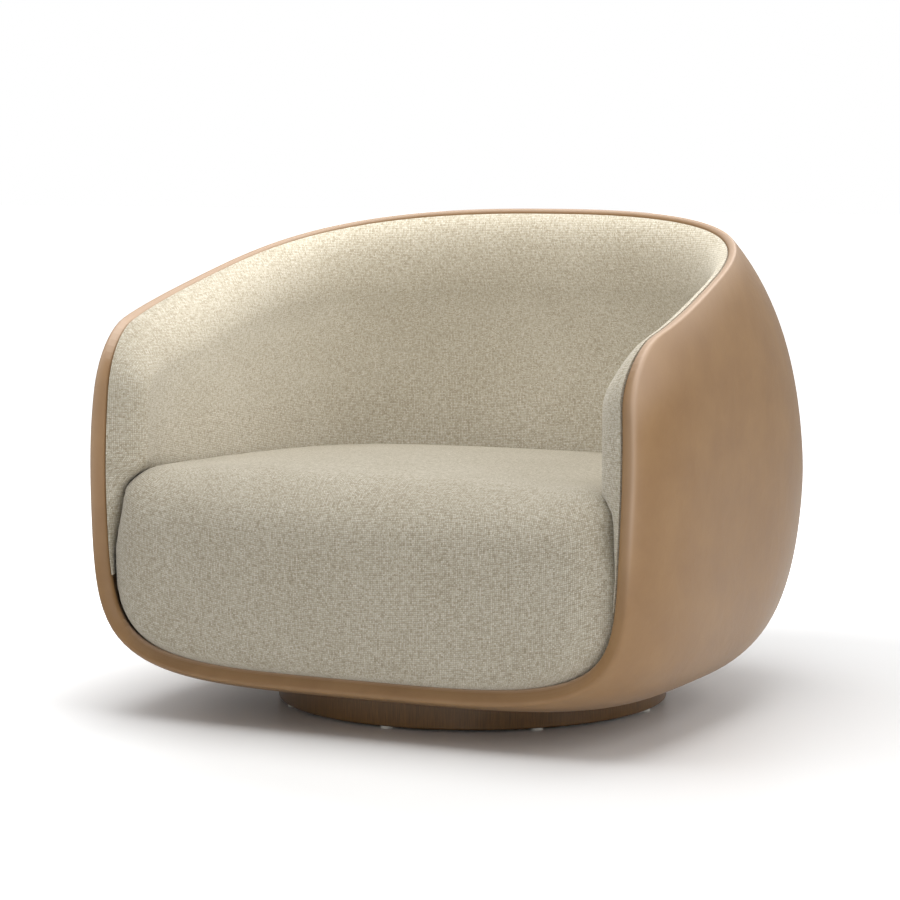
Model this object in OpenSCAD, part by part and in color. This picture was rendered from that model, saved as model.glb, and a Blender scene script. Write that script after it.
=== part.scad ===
// Swivel tub chair: a leather-covered shell with a fabric lining, an upholstered seat block
// and a ball-bearing turntable on a low round plinth.
// Millimetres, +Z up, front towards -Y. The origin is on the floor under the middle of the footprint.

/* [Shell] */
// Width of the shell at its widest
shell_width = 904; // [840:1:960]
// Depth of the shell from the middle of its plan to the back
back_depth = 510; // [480:1:540]
// Depth from the middle of its plan to where the front of the egg would close
front_depth = 464; // [440:1:490]
// Where the middle of the plan lies, measured from the origin
plan_middle_y = -75.4; // [-90:0.1:-60]
// Height of the widest line
belly_z = 333; // [310:1:350]
// Rise from the widest line to where the sides of the egg would close
side_rise = 497; // [470:1:530]
// Rise from the widest line to where the back of the egg would close
back_rise = 465; // [440:1:500]
// Drop from the widest line to the bottom of the egg
belly_drop = 299; // [290:1:310]
// Height of the flat underside
underside_z = 45; // [42:1:60]
// Forward lean of the plan for each millimetre of height
back_lean = 0.055; // [0:0.005:0.1]

/* [Opening] */
// From the middle of the plan to the front edge of the shell, at the floor end
lip_reach = 337; // [320:1:350]
// From the middle of the plan to the front edge of the arms, at the top
arm_reach = 324; // [310:1:340]
// How far the front edge bows forward between the two
front_bow = 11; // [0:1:20]
// Height of the arms at the front
arm_z = 551; // [520:1:580]
// Height that the arm line reaches over the back of the shell
back_line_z = 768; // [730:1:800]
// Radius of the corner between arm and front edge
arm_corner_r = 85; // [50:1:100]

/* [Upholstery] */
// Thickness of the outer leather
leather_t = 2; // [1.2:0.1:3]
// Thickness of the moulded core
core_t = 14.5; // [12:0.5:20]
// Thickness of the foam on the arms
pad_t = 34; // [20:1:45]
// Thickness of the foam on the back
back_pad_t = 60; // [40:1:80]
// Width of the rolled edge of the foam along the rim
pad_roll = 20; // [15:1:45]
// From the rim to where the back's foam is at its thickest
back_swell_reach = 180; // [100:1:220]
// Height where foam and lining end, beside the seat block
pad_low_z = 205; // [190:1:220]
// Thickness of the lining fabric
lining_t = 2; // [1:0.1:3]
// Thickness of the seat fabric
cover_t = 2; // [1:0.1:3]

/* [Seat] */
// From the middle of the plan to the front face of the seat block, at its edges
seat_reach = 349; // [335:1:360]
// How far the front face swells forward
seat_swell = 11; // [0:1:20]
// From the shell's outside to the sides of the seat block
seat_side_inset = 48; // [45:1:60]
// From the shell's outside to the back of the seat block
seat_back_inset = 130; // [110:1:170]
// Top of the seat block at its edges
seat_z = 351; // [330:1:370]
// Rise of the seat's top for each millimetre forward
seat_tilt = 0.033; // [0:0.001:0.06]
// Crown of the seat
seat_crown = 17; // [5:1:30]
// Rounding of the seat's long edges
seat_round = 81; // [50:1:90]
// Rounding of the seat's lower edge
seat_low_round = 30; // [15:1:40]
// From the shell's outside to the sides of the wooden box frame
frame_side_inset = 167; // [162:1:190]
// From the shell's back to the rear rail of the box frame
frame_back_inset = 404; // [399:1:430]
// Height of the box frame's rails
rail_h = 150; // [120:1:160]
// From the seat block's front face to the front rail
frame_setback = 85; // [80:1:100]
// Thickness of the rails
rail_t = 22; // [16:1:30]
// Thickness of the board that carries the seat
board_t = 18; // [12:1:24]
// Width of a webbing strap
strap_w = 50; // [30:1:60]

/* [Base] */
// Radius of the plinth
plinth_r = 288; // [250:1:300]
// Wall of the plinth ring
plinth_wall = 24; // [18:1:40]
// Height of the glides
glide_h = 4; // [3:0.5:8]
// Radius of a glide
glide_r = 9; // [6:0.5:11]
// Number of glides
glide_count = 8; // [4:1:12]
// Thickness of the plinth's deck
deck_t = 18; // [12:1:24]
// Free height between the plinth and the shell
swivel_gap = 4; // [3:0.5:8]
// From the middle of the plan to the swivel axis
swivel_back = 50; // [30:1:70]

/* [Turntable] */
// Radius of the two steel plates
plate_r = 120; // [105:1:124]
// Thickness of the steel plates
plate_t = 2.5; // [2:0.5:4]
// Radius of the ball circle
ball_circle_r = 95; // [80:1:100]
// Radius of a ball
ball_r = 4.75; // [4:0.05:5.5]
// Number of balls
ball_count = 24; // [12:1:30]
// Radius of the king pin
pin_r = 8; // [6:0.5:10]
// Free play between parts that turn on each other
running_play = 0.05; // [0.02:0.01:0.1]

/* [Hidden] */
$fn = 96;

// Clearance between neighbouring solids
fit = 0.1;
// Clearance between two faceted soft surfaces that do not share a grid
soft_gap = 12;
// Clearance between the seat block and the bare wall
seat_wall_gap = 9;

// Powers of the rounded outlines: 2 is an ellipse, more is squarer
side_top_power = 2.79;
back_top_power = 2.56;
side_low_power = 5.16;
back_low_power = 2.41;
front_low_power = 3.91;
back_plan_power = 3.32;
front_plan_power = 4.12;
// Change of the plan's powers for each plan_step of height
plan_step = 324;
back_power_up = 0.745;
back_power_down = 1.05;
front_power_up = 0.415;
front_power_down = 0.19;
// Sag of the arm line between its ends, as a share of its rise
arm_line_bulge = 0.033;

// Grid of the shells: columns round the opening, closest at its corners, on one side of the chair
half_columns = [0, 12, 23, 32, 40, 47, 54, 60, 66, 72, 77, 80.5, 83, 85.5, 88.5, 94, 103, 112, 120, 126,
    131, 136, 141, 147, 156, 168, 180];
half_count = len(half_columns) - 1;
columns = 2 * half_count;
// Rows from the pole on the back wall to the rim
row_shares = [0.15, 0.29, 0.42, 0.54, 0.65, 0.75, 0.84, 0.91, 0.96, 0.985, 1];
rows = len(row_shares);
// Point inside the egg that the grid's rays start from, and the tilt of its pole below the horizontal
swivel_y = plan_middle_y + swivel_back;
heart = [0, swivel_y, belly_z];
lip_y = plan_middle_y - lip_reach;
arm_front_y = plan_middle_y - arm_reach;
pole_tilt = 25;
halvings = 20;
rim_halvings = 14;
far_reach = 900;
nose_turns = [36, 72, 108, 144];

// Levels of the stack, from the floor up
wall_t = 2 * leather_t + core_t;
plinth_top_z = underside_z - swivel_gap;
floor_in_z = underside_z + leather_t + core_t + fit;
board_z = floor_in_z + fit;
board_top_z = board_z + board_t;
bottom_cloth_t = 0.8;
seat_low_z = board_top_z + bottom_cloth_t + 2 * fit;

// Turntable
upper_plate_z = board_z - plate_t;
lower_plate_top_z = plinth_top_z + plate_t;
ball_z = (lower_plate_top_z + upper_plate_z) / 2;
groove_r = ball_r + running_play;
race_half_w = 12;
cage_t = 1.5;
cage_half_w = 10;
race_cage_gap = 0.5;
cage_hole_r = ball_r + 2 * running_play;
hole_r = plate_r + 10;
pin_head_r = 14;
pin_head_t = 2.5;
washer_r = 18;
washer_t = 2;
nut_r = 14;
nut_h = 8;
nut_room = 4;
plate_screw_r = 2.5;
plate_screw_head_r = 4.5;
plate_screw_head_h = 2.5;
plate_screw_grip = 14;
plate_screw_circle_r = 64;
plate_screw_count = 4;
nail_r = 1.5;
nail_l = 14;

// Outline of the seat's box frame
seat_front_y = plan_middle_y - seat_reach;
frame_front_y = seat_front_y + frame_setback;
frame_w = shell_width - 2 * frame_side_inset;
frame_d = plan_middle_y + back_depth - frame_back_inset - frame_front_y;

// Base board outline, inside the flat part of the shell's floor
board_side_inset = 37;
board_front_setback = 59;
board_back_reach = 32;
board_half_w = frame_w / 2 - board_side_inset;
board_front_y = frame_front_y + board_front_setback;
board_back_y = frame_front_y + frame_d + board_back_reach;
board_front_round = 110;
board_back_round = 170;

// Screws that hold the core to the board
shell_screw_r = 2.5;
shell_screw_head_r = 5;
shell_screw_head_h = 3;
shell_screw_grip = 10;
shell_screw_inset = 45;
shell_screw_rows = [board_front_y + 100, board_front_y + 205];

// Seat frame
hem_room = 0.85;
rail_z = seat_low_z + cover_t + hem_room;
rail_top_z = rail_z + rail_h;
block_leg = 60;
block_h = 90;
batten_w = 60;
batten_t = 20;
batten_front_play = 3;
batten_back_play = 8;
batten_at = [rail_t + block_leg + batten_front_play + batten_w / 2,
    frame_d - rail_t - block_leg - batten_back_play - batten_w / 2];
bolt_r = 4;
bolt_head_r = 8;
bolt_head_h = 5;
bolt_x = 150;
strap_t = 1.5;
straps_long = 6;
straps_cross = 5;
cavity_play = 0.4;

// Grid of the seat block: columns closest at the front corners, rows closest at the rounded edges
seat_half_columns = [0, 12, 23, 33, 42, 51, 61, 73, 87, 100, 110, 117, 122, 126, 129.5, 133, 137, 142, 149,
    158, 169, 180];
seat_half_count = len(seat_half_columns) - 1;
seat_columns = 2 * seat_half_count;
seat_rows = [18, 32, 40, 46, 52, 60, 73, 91, 108, 122, 131, 137, 142];
seat_heart = [0, plan_middle_y, 230];
crown_half_w = 380;
crown_half_d = 340;
seat_rise = seat_z - seat_heart.z;
seat_drop = seat_heart.z - seat_low_z;
hem_share = 0.85;

// Outline of the egg

// 1 at the middle of a rounded outline, falling to 0 at its end
function fall(share, power) = share <= 0 ? 1 : share >= 1 ? 0 : pow(1 - pow(share, power), 1 / power);

// Share of the half width left at height z
function half_width(z) = shell_width / 2
    * (z > belly_z ? fall((z - belly_z) / side_rise, side_top_power)
        : fall((belly_z - z) / belly_drop, side_low_power));

function half_back(z) = back_depth
    * (z > belly_z ? fall((z - belly_z) / back_rise, back_top_power)
        : fall((belly_z - z) / belly_drop, back_low_power));

function half_front(z) = front_depth
    * (z > belly_z ? fall((z - belly_z) / back_rise, back_top_power)
        : fall((belly_z - z) / belly_drop, front_low_power));

function middle_y(z) = plan_middle_y - back_lean * (z - belly_z);

function back_power(z) = back_plan_power
    - abs(z - belly_z) / plan_step * (z > belly_z ? back_power_up : back_power_down);

function front_power(z) = front_plan_power
    - abs(z - belly_z) / plan_step * (z > belly_z ? front_power_up : front_power_down);

// Below 0 inside the egg, above 0 outside it
function outside(p) =
    let (dy = p.y - middle_y(p.z))
    let (w = half_width(p.z))
    let (d = dy > 0 ? half_back(p.z) : half_front(p.z))
    let (n = dy > 0 ? back_power(p.z) : front_power(p.z))
    min(w, d) < 0.01 ? 1 : pow(pow(abs(p.x) / w, n) + pow(abs(dy) / d, n), 1 / n) - 1;

// Distance along a ray from the heart to the egg
function reach(ray, near = 0, far = far_reach, left = halvings) =
    left == 0 ? near
        : let (mid = (near + far) / 2) outside(heart + ray * mid) > 0
            ? reach(ray, near, mid, left - 1)
            : reach(ray, mid, far, left - 1);

// Direction from the heart: column angle round the pole, polar angle away from it
function ray(column_angle, polar) =
    let (pole = [0, cos(pole_tilt), -sin(pole_tilt)])
    let (upward = [0, sin(pole_tilt), cos(pole_tilt)])
    cos(polar) * pole + sin(polar) * (cos(column_angle) * upward + [sin(column_angle), 0, 0]);

function egg_point(column_angle, polar) =
    let (direction = ray(column_angle, polar)) heart + direction * reach(direction);

// Front edge line and arm line, seen from the side
function front_line(z) =
    let (u = min(max(z - (belly_z - belly_drop), 0) / (arm_z - belly_z + belly_drop), 1.3))
    lip_y + (arm_front_y - lip_y) * u - 4 * front_bow * u * (1 - u);

function arm_line(y) =
    let (u = (y - arm_front_y) / (plan_middle_y + back_depth - arm_front_y))
    let (c = min(max(u, -0.3), 1.2))
    arm_z + (back_line_z - arm_z) * (c + arm_line_bulge * c * (1 - c));

// Below 0 where there is shell, above 0 in the opening
function past_rim(p) =
    let (ahead = front_line(p.z) - p.y)
    let (above = p.z - arm_line(p.y))
    let (a = ahead + arm_corner_r)
    let (b = above + arm_corner_r)
    a > 0 && b > 0 ? norm([a, b]) - arm_corner_r : max(ahead, above);

function rim_polar(column_angle, low = 30, high = 165, left = rim_halvings) =
    left == 0 ? low
        : let (mid = (low + high) / 2) past_rim(egg_point(column_angle, mid)) > -wall_t / 2
            ? rim_polar(column_angle, low, mid, left - 1)
            : rim_polar(column_angle, mid, high, left - 1);

// Grid of points on the egg, and the outward direction at each

function column_angle(i) =
    let (k = i % columns) k <= half_count ? half_columns[k] : 360 - half_columns[columns - k];

function egg_grid() =
    let (rims = [for (i = [0:columns - 1]) rim_polar(column_angle(i))])
    [for (share = row_shares) [for (i = [0:columns - 1]) egg_point(column_angle(i), rims[i] * share)]];

function unit(v) = v / norm(v);

function egg_pole() = egg_point(0, 0);

// Along a column, away from the pole
function along(grid, j, i) =
    unit(grid[min(j + 1, rows - 1)][i] - (j == 0 ? egg_pole() : grid[j - 1][i]));

function round_the_pole(grid, j, i) =
    unit(grid[j][(i + 1) % columns] - grid[j][(i + columns - 1) % columns]);

function outward(grid, j, i) =
    let (n = unit(cross(along(grid, j, i), round_the_pole(grid, j, i))))
    n * (grid[j][i] - heart) > 0 ? n : -n;

function normals(grid) = [for (j = [0:rows - 1]) [for (i = [0:columns - 1]) outward(grid, j, i)]];

// A point sunk below the egg's surface, and not under the floor of its layer
function sunk(p, n, depth, floor_z) = let (q = p - n * depth) [q.x, q.y, max(q.z, floor_z)];

out_rows = [for (j = [0:rows - 1]) j];
in_rows = [for (j = [rows - 1:-1:0]) j];
nose_rows = [for (k = [0:len(nose_turns) - 1]) rows + k];
nose_rows_back = [for (k = [len(nose_turns) - 1:-1:0]) rows + k];

function layer_row(grid, facing, j, depth, floor_z) =
    [for (i = [0:columns - 1]) sunk(grid[j][i], facing[j][i], depth, floor_z)];

function layer_pole(depth) = egg_pole() - [0, cos(pole_tilt), -sin(pole_tilt)] * depth;

// Half round at the rim, round the middle of the wall
function nose_row(grid, facing, radius, turn) =
    [for (i = [0:columns - 1])
        let (n = facing[rows - 1][i])
        let (t = along(grid, rows - 1, i))
        grid[rows - 1][i] - n * wall_t / 2 + radius * (n * cos(turn) + t * sin(turn))];

// Closed solid from rings of equal length between two poles. Each ring names its row of the grid. A
// facet is split as its place in the grid bulges, so nested walls have the same facets
module ringed(first_pole, rings, last_pole, at_row, grid, middle) {
    n = len(rings[0]);
    last = 1 + len(rings) * n;
    faces = [
        for (i = [0:n - 1]) [0, 1 + (i + 1) % n, 1 + i],
        for (k = [0:len(rings) - 2], i = [0:n - 1])
            let (a = 1 + k * n + i)
            let (b = 1 + k * n + (i + 1) % n)
            let (onward = at_row[k + 1] > at_row[k])
            each bulges(grid, middle, min(at_row[k], at_row[k + 1]), max(at_row[k], at_row[k + 1]), i)
                == onward ? [[a, b, b + n], [a, b + n, a + n]] : [[a, b, a + n], [b, b + n, a + n]],
        for (i = [0:n - 1]) [last, last - n + i, last - n + (i + 1) % n]];
    polyhedron(concat([first_pole], [for (ring = rings) each ring], [last_pole]), faces);
}

// Whether the line from a grid point to the next row's next column lies outside the other diagonal
function bulges(grid, middle, j, next, i) =
    next >= len(grid) ? i < len(grid[0]) / 2
        : let (k = (i + 1) % len(grid[0]))
            norm(grid[j][i] + grid[next][k] - 2 * middle) > norm(grid[j][k] + grid[next][i] - 2 * middle);

// How deep a layer can go below a point of the egg before it comes too near the seat block
function room(p, n, near = 0, far = 110, left = 9) =
    left == 0 ? near
        : let (mid = (near + far) / 2) past_seat(p - n * mid) > soft_gap
            ? room(p, n, mid, far, left - 1)
            : room(p, n, near, mid, left - 1);

// Thickness of the foam: thickest in the middle of the back, rolled off at the rim, clear of the seat
function foam_t(p, n) =
    let (inside = max(-past_rim(p) - wall_t / 2, 0))
    let (back = min(max((p.y - plan_middle_y) / 400, 0), 1) * min(max((p.z - pad_low_z) / 150, 0), 1)
        * min(inside / back_swell_reach, 1))
    let (full = pad_t + (back_pad_t - pad_t) * back)
    let (rolled = 1 + (full - 1) * sqrt(1 - pow(1 - min(inside / pad_roll, 1), 2)))
    max(min(rolled, room(p, n) - wall_t - lining_t - 2 * fit), 1);

function foam_row(grid, facing, j, extra) =
    [for (i = [0:columns - 1])
        grid[j][i] - facing[j][i] * (wall_t + fit + foam_t(grid[j][i], facing[j][i]) + extra)];

// Nested skin between two depths below the foam's face or the wall
module lined(grid, outer_extra, inner_extra, outer_is_wall) {
    facing = normals(grid);
    outer_rings = [for (j = [0:rows - 1])
        outer_is_wall
            ? layer_row(grid, facing, j, j < rows - 2 ? wall_t - leather_t + fit : wall_t + fit, 0)
            : foam_row(grid, facing, j, outer_extra)];
    inner_rings = [for (j = [rows - 1:-1:0]) foam_row(grid, facing, j, inner_extra)];
    pole_foam = wall_t + fit + foam_t(egg_pole(), [0, cos(pole_tilt), -sin(pole_tilt)]);
    difference() {
        ringed(layer_pole(outer_is_wall ? wall_t - leather_t + fit : pole_foam + outer_extra),
            concat(outer_rings, inner_rings), layer_pole(pole_foam + inner_extra),
            concat(out_rows, in_rows), grid, heart);
        translate([-shell_width / 2, -shell_width / 2, pad_low_z - shell_width])
            cube([shell_width, shell_width, shell_width]);
    }
}

module about_swivel() {
    translate([0, swivel_y, 0]) children();
}

module ring_of(count, radius, start = 0) {
    for (i = [0:count - 1]) rotate(start + 360 * i / count) translate([radius, 0, 0]) children();
}

// Plinth

module plinth_ring() color("#4a3527") {
    edge = 1.5;
    inner_r = plinth_r - plinth_wall;
    about_swivel() difference() {
        rotate_extrude() polygon([
            [inner_r, glide_h], [plinth_r - edge, glide_h], [plinth_r, glide_h + edge],
            [plinth_r, plinth_top_z - edge], [plinth_r - edge, plinth_top_z], [inner_r, plinth_top_z]]);
        ring_of(glide_count, plinth_r - plinth_wall / 2)
            translate([0, 0, glide_h - 1]) cylinder(h = nail_l + 1, r = nail_r + running_play);
    }
}

module plinth_deck() color("#b08a5e")
    about_swivel() difference() {
        translate([0, 0, plinth_top_z - deck_t])
            cylinder(h = deck_t, r = plinth_r - plinth_wall - fit);
        translate([0, 0, plinth_top_z - pin_head_t - fit])
            cylinder(h = pin_head_t + 1, r = pin_head_r + fit);
        ring_of(plate_screw_count, plate_screw_circle_r, 45)
            translate([0, 0, plinth_top_z - plate_screw_grip - fit])
                cylinder(h = plate_screw_grip + 1, r = plate_screw_r + running_play);
    }

module floor_glides() color("#3a3a3a")
    about_swivel() ring_of(glide_count, plinth_r - plinth_wall / 2) difference() {
        cylinder(h = glide_h, r = glide_r);
        translate([0, 0, 1]) cylinder(h = glide_h, r = nail_r + running_play);
    }

module glide_nails() color("#c9ccd0")
    about_swivel() ring_of(glide_count, plinth_r - plinth_wall / 2)
        translate([0, 0, 1 + fit]) cylinder(h = glide_h + nail_l - 1 - 2 * fit, r = nail_r);

// Turntable

module race(plate_z, ring_z, ring_top_z) {
    rotate_extrude() translate([ball_circle_r - race_half_w, ring_z])
        square([2 * race_half_w, ring_top_z - ring_z]);
    translate([0, 0, plate_z]) cylinder(h = plate_t, r = plate_r);
}

module groove() {
    rotate_extrude() translate([ball_circle_r, ball_z]) circle(r = groove_r);
}

module lower_swivel_plate() color("#8d9196")
    about_swivel() difference() {
        race(plinth_top_z, plinth_top_z, ball_z - cage_t / 2 - race_cage_gap);
        groove();
        translate([0, 0, plinth_top_z - 1]) cylinder(h = plate_t + 2, r = pin_r + running_play);
        ring_of(plate_screw_count, plate_screw_circle_r, 45)
            translate([0, 0, plinth_top_z - 1])
                cylinder(h = plate_t + 2, r = plate_screw_r + running_play);
    }

module upper_swivel_plate() color("#8d9196")
    about_swivel() difference() {
        race(upper_plate_z, ball_z + cage_t / 2 + race_cage_gap, board_z);
        groove();
        translate([0, 0, upper_plate_z - 1]) cylinder(h = plate_t + 2, r = pin_r + running_play);
        ring_of(plate_screw_count, plate_screw_circle_r, 0)
            translate([0, 0, upper_plate_z - 1])
                cylinder(h = plate_t + 2, r = plate_screw_r + running_play);
    }

module ball_cage() color("#b9a46a")
    about_swivel() difference() {
        rotate_extrude() translate([ball_circle_r - cage_half_w, ball_z - cage_t / 2])
            square([2 * cage_half_w, cage_t]);
        ring_of(ball_count, ball_circle_r)
            translate([0, 0, ball_z - cage_t]) cylinder(h = 2 * cage_t, r = cage_hole_r, $fn = 32);
    }

module bearing_balls() color("#d7dadd")
    about_swivel() ring_of(ball_count, ball_circle_r)
        translate([0, 0, ball_z]) sphere(r = ball_r, $fn = 32);

module plate_screw() {
    translate([0, 0, -plate_screw_grip + fit])
        cylinder(h = plate_screw_grip + plate_t - fit, r = plate_screw_r);
    translate([0, 0, plate_t]) cylinder(h = plate_screw_head_h, r = plate_screw_head_r);
}

module lower_plate_screws() color("#c9ccd0")
    about_swivel() ring_of(plate_screw_count, plate_screw_circle_r, 45)
        translate([0, 0, plinth_top_z]) plate_screw();

module upper_plate_screws() color("#c9ccd0")
    about_swivel() ring_of(plate_screw_count, plate_screw_circle_r, 0)
        translate([0, 0, board_z]) mirror([0, 0, 1]) plate_screw();

module pivot_pin() color("#9aa0a6")
    about_swivel() {
        translate([0, 0, plinth_top_z - pin_head_t]) cylinder(h = pin_head_t, r = pin_head_r);
        translate([0, 0, plinth_top_z - 1])
            cylinder(h = board_z + washer_t + nut_h - plinth_top_z + 1 + fit, r = pin_r);
    }

module pivot_washer() color("#e8e4da")
    about_swivel() translate([0, 0, board_z + fit]) difference() {
        cylinder(h = washer_t - fit, r = washer_r);
        translate([0, 0, -1]) cylinder(h = washer_t + 2, r = pin_r + running_play);
    }

module pivot_nut() color("#9aa0a6")
    about_swivel() translate([0, 0, board_z + washer_t]) difference() {
        cylinder(h = nut_h, r = nut_r, $fn = 6);
        translate([0, 0, -1]) cylinder(h = nut_h + 2, r = pin_r + running_play, $fn = 48);
    }

// Board that carries the seat

module at_shell_screws() {
    for (side = [-1, 1], y = shell_screw_rows)
        translate([side * (board_half_w - shell_screw_inset), y, 0]) children();
}

// Rounded outline with its own corner radius at the front and at the back
module board_outline() {
    translate([-board_half_w + board_front_round, board_front_y])
        square([2 * (board_half_w - board_front_round), board_back_y - board_front_y
            - board_back_round]);
    translate([-board_half_w, board_front_y + board_front_round])
        square([2 * board_half_w, board_back_y - board_back_round - board_front_y - board_front_round]);
    translate([-board_half_w + board_back_round, board_front_y + board_front_round])
        square([2 * (board_half_w - board_back_round), board_back_y - board_front_y - board_front_round]);
    for (side = [-1, 1]) {
        translate([side * (board_half_w - board_front_round), board_front_y + board_front_round])
            circle(r = board_front_round);
        translate([side * (board_half_w - board_back_round), board_back_y - board_back_round])
            circle(r = board_back_round);
    }
}

module base_board() color("#c39a6b")
    difference() {
        translate([0, 0, board_z]) linear_extrude(height = board_t) board_outline();
        about_swivel() translate([0, 0, board_z - 1]) cylinder(h = board_t + 2, r = washer_r + nut_room);
        about_swivel() ring_of(plate_screw_count, plate_screw_circle_r, 0)
            translate([0, 0, board_z - 1])
                cylinder(h = plate_screw_grip + 1 + fit, r = plate_screw_r + running_play);
        at_shell_screws() {
            translate([0, 0, board_z - 1]) cylinder(h = board_t + 2, r = shell_screw_r + running_play);
            translate([0, 0, board_top_z - shell_screw_head_h - fit])
                cylinder(h = shell_screw_head_h + 1, r = shell_screw_head_r + fit);
        }
        at_bolts() {
            translate([0, 0, board_z - 1]) cylinder(h = board_t + 2, r = bolt_r + fit);
            translate([0, 0, board_z - 1]) cylinder(h = bolt_head_h + 1 + fit, r = bolt_head_r + fit);
        }
    }

// Moulded shell and its covers

module shell_core() color("#d9c8a9") {
    grid = egg_grid();
    facing = normals(grid);
    out_z = underside_z + leather_t + fit;
    depth = leather_t + fit;
    deep = wall_t - leather_t;
    nose_r = wall_t / 2 - depth;
    rings = concat(
        [for (j = [0:rows - 1]) layer_row(grid, facing, j, depth, out_z)],
        [for (turn = nose_turns) nose_row(grid, facing, nose_r, turn)],
        [for (j = [rows - 1:-1:0]) layer_row(grid, facing, j, deep, floor_in_z)]);
    difference() {
        ringed(layer_pole(depth), rings, layer_pole(deep), concat(out_rows, nose_rows, in_rows), grid, heart);
        about_swivel() translate([0, 0, underside_z - 10]) cylinder(h = 60, r = hole_r);
        at_shell_screws() translate([0, 0, board_z - shell_screw_grip - fit])
            cylinder(h = shell_screw_grip + 5, r = shell_screw_r + running_play);
    }
}

module leather_cover() color("#a88a68") {
    grid = egg_grid();
    facing = normals(grid);
    nose_r = wall_t / 2;
    rings = concat(
        [for (j = [0:rows - 1]) layer_row(grid, facing, j, 0, underside_z)],
        [for (turn = nose_turns) nose_row(grid, facing, nose_r, turn)],
        [layer_row(grid, facing, rows - 1, wall_t, 0), layer_row(grid, facing, rows - 2, wall_t, 0),
            layer_row(grid, facing, rows - 2, wall_t - leather_t + fit, 0),
            layer_row(grid, facing, rows - 1, wall_t - leather_t + fit, 0)],
        [for (k = [len(nose_turns) - 1:-1:0])
            nose_row(grid, facing, nose_r - leather_t + fit / 2, nose_turns[k])],
        [for (j = [rows - 1:-1:0])
            layer_row(grid, facing, j, leather_t, underside_z + leather_t)]);
    difference() {
        ringed(layer_pole(0), rings, layer_pole(leather_t),
            concat(out_rows, nose_rows, [rows - 1, rows - 2, rows - 2, rows - 1], nose_rows_back, in_rows),
            grid, heart);
        about_swivel() translate([0, 0, underside_z - 10]) cylinder(h = 20, r = hole_r);
    }
}

module shell_screws() color("#c9ccd0")
    at_shell_screws() translate([0, 0, board_z]) {
        translate([0, 0, -shell_screw_grip]) cylinder(h = shell_screw_grip + board_t - 1, r = shell_screw_r);
        translate([0, 0, board_t - shell_screw_head_h])
            cylinder(h = shell_screw_head_h, r = shell_screw_head_r);
    }

module inner_pad() color("#e9dfb8") lined(egg_grid(), 0, 0, true);

module inner_lining() color("#b9af97") lined(egg_grid(), fit, lining_t, false);

// Seat block

function swell_front(p) =
    let (u = min(abs(p.x) / crown_half_w, 1))
    let (v = min(abs(p.z - seat_heart.z) / (p.z > seat_heart.z ? seat_rise : seat_drop), 1))
    seat_front_y - seat_swell * (1 - u * u) * (1 - v * v);

function crown_top(p) =
    let (u = min(abs(p.x) / crown_half_w, 1))
    let (w = min(abs(p.y - seat_heart.y) / crown_half_d, 1))
    seat_z + seat_crown * (1 - u * u) * (1 - w * w) - seat_tilt * (p.y - seat_heart.y);

// How far a point lies outside the block's sides and back
function past_side(p) =
    let (dy = p.y - middle_y(p.z))
    let (w = max(half_width(p.z) - seat_side_inset, 1))
    let (d = max(half_back(p.z) - seat_back_inset, 1))
    let (n = 3)
    dy < 0 ? abs(p.x) - w
        : (pow(pow(abs(p.x) / w, n) + pow(dy / d, n), 1 / n) - 1) * (w + d) / 2;

// Several faces met with a rounding: below 0 inside all of them
function rounded_meet(past, radius) =
    let (near = [for (d = past) max(d + radius, 0)])
    len([for (d = near) if (d > 0) d]) > 1 ? norm(near) - radius : max(past);

// How far a point lies outside the egg, near its surface
function past_egg(p) =
    let (e = 0.5)
    let (slope = norm([outside(p + [e, 0, 0]) - outside(p - [e, 0, 0]),
        outside(p + [0, e, 0]) - outside(p - [0, e, 0]),
        outside(p + [0, 0, e]) - outside(p - [0, 0, e])]) / (2 * e))
    outside(p) / max(slope, 0.0001);

// The block stays clear of the wall, and above the foam's lower end of the lining too
function past_seat(p) =
    let (upper = rounded_meet([past_side(p), swell_front(p) - p.y, p.z - crown_top(p)], seat_round))
    let (lined = min(max((p.z - pad_low_z + 25) / 90, 0), 1))
    max(rounded_meet([upper, seat_low_z - p.z], seat_low_round),
        past_egg(p) + wall_t + seat_wall_gap + lined * (lining_t + soft_gap));

function seat_out(direction, near = 0, far = far_reach, left = halvings) =
    left == 0 ? near
        : let (mid = (near + far) / 2) past_seat(seat_heart + direction * mid) > 0
            ? seat_out(direction, near, mid, left - 1)
            : seat_out(direction, mid, far, left - 1);

function seat_column(i) =
    i <= seat_half_count ? seat_half_columns[i] : 360 - seat_half_columns[seat_columns - i];

// Level distance from the middle of the block to its outline at the foot
function foot_out(level, near = 0, far = far_reach, left = halvings) =
    left == 0 ? near
        : let (mid = (near + far) / 2)
            past_seat([0, seat_heart.y, seat_low_z + seat_low_round / 2] + level * mid) > 0
                ? foot_out(level, near, mid, left - 1)
                : foot_out(level, mid, far, left - 1);

// Direction from the heart, with 45 degrees at the block's upper edge and 135 at its lower edge
function seat_ray(column, polar) =
    let (level = [-sin(column), cos(column), 0])
    let (low = min(max((polar - 90) / 45, 0), 1))
    let (span = seat_out(level) * (1 - low) + (low > 0 ? foot_out(level) * low : 0))
    unit(level * span * sin(polar) + [0, 0, (polar < 90 ? seat_rise : seat_drop) * cos(polar)]);

function seat_normal(p) =
    let (e = 0.5)
    unit([past_seat(p + [e, 0, 0]) - past_seat(p - [e, 0, 0]),
        past_seat(p + [0, e, 0]) - past_seat(p - [0, e, 0]),
        past_seat(p + [0, 0, e]) - past_seat(p - [0, 0, e])]);

function seat_point(column, polar, depth) =
    let (direction = seat_ray(column, polar))
    let (p = seat_heart + direction * seat_out(direction))
    depth == 0 ? p : p - seat_normal(p) * depth;

function seat_row(polar, depth) =
    [for (i = [0:seat_columns - 1]) seat_point(seat_column(i), polar, depth)];

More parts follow.
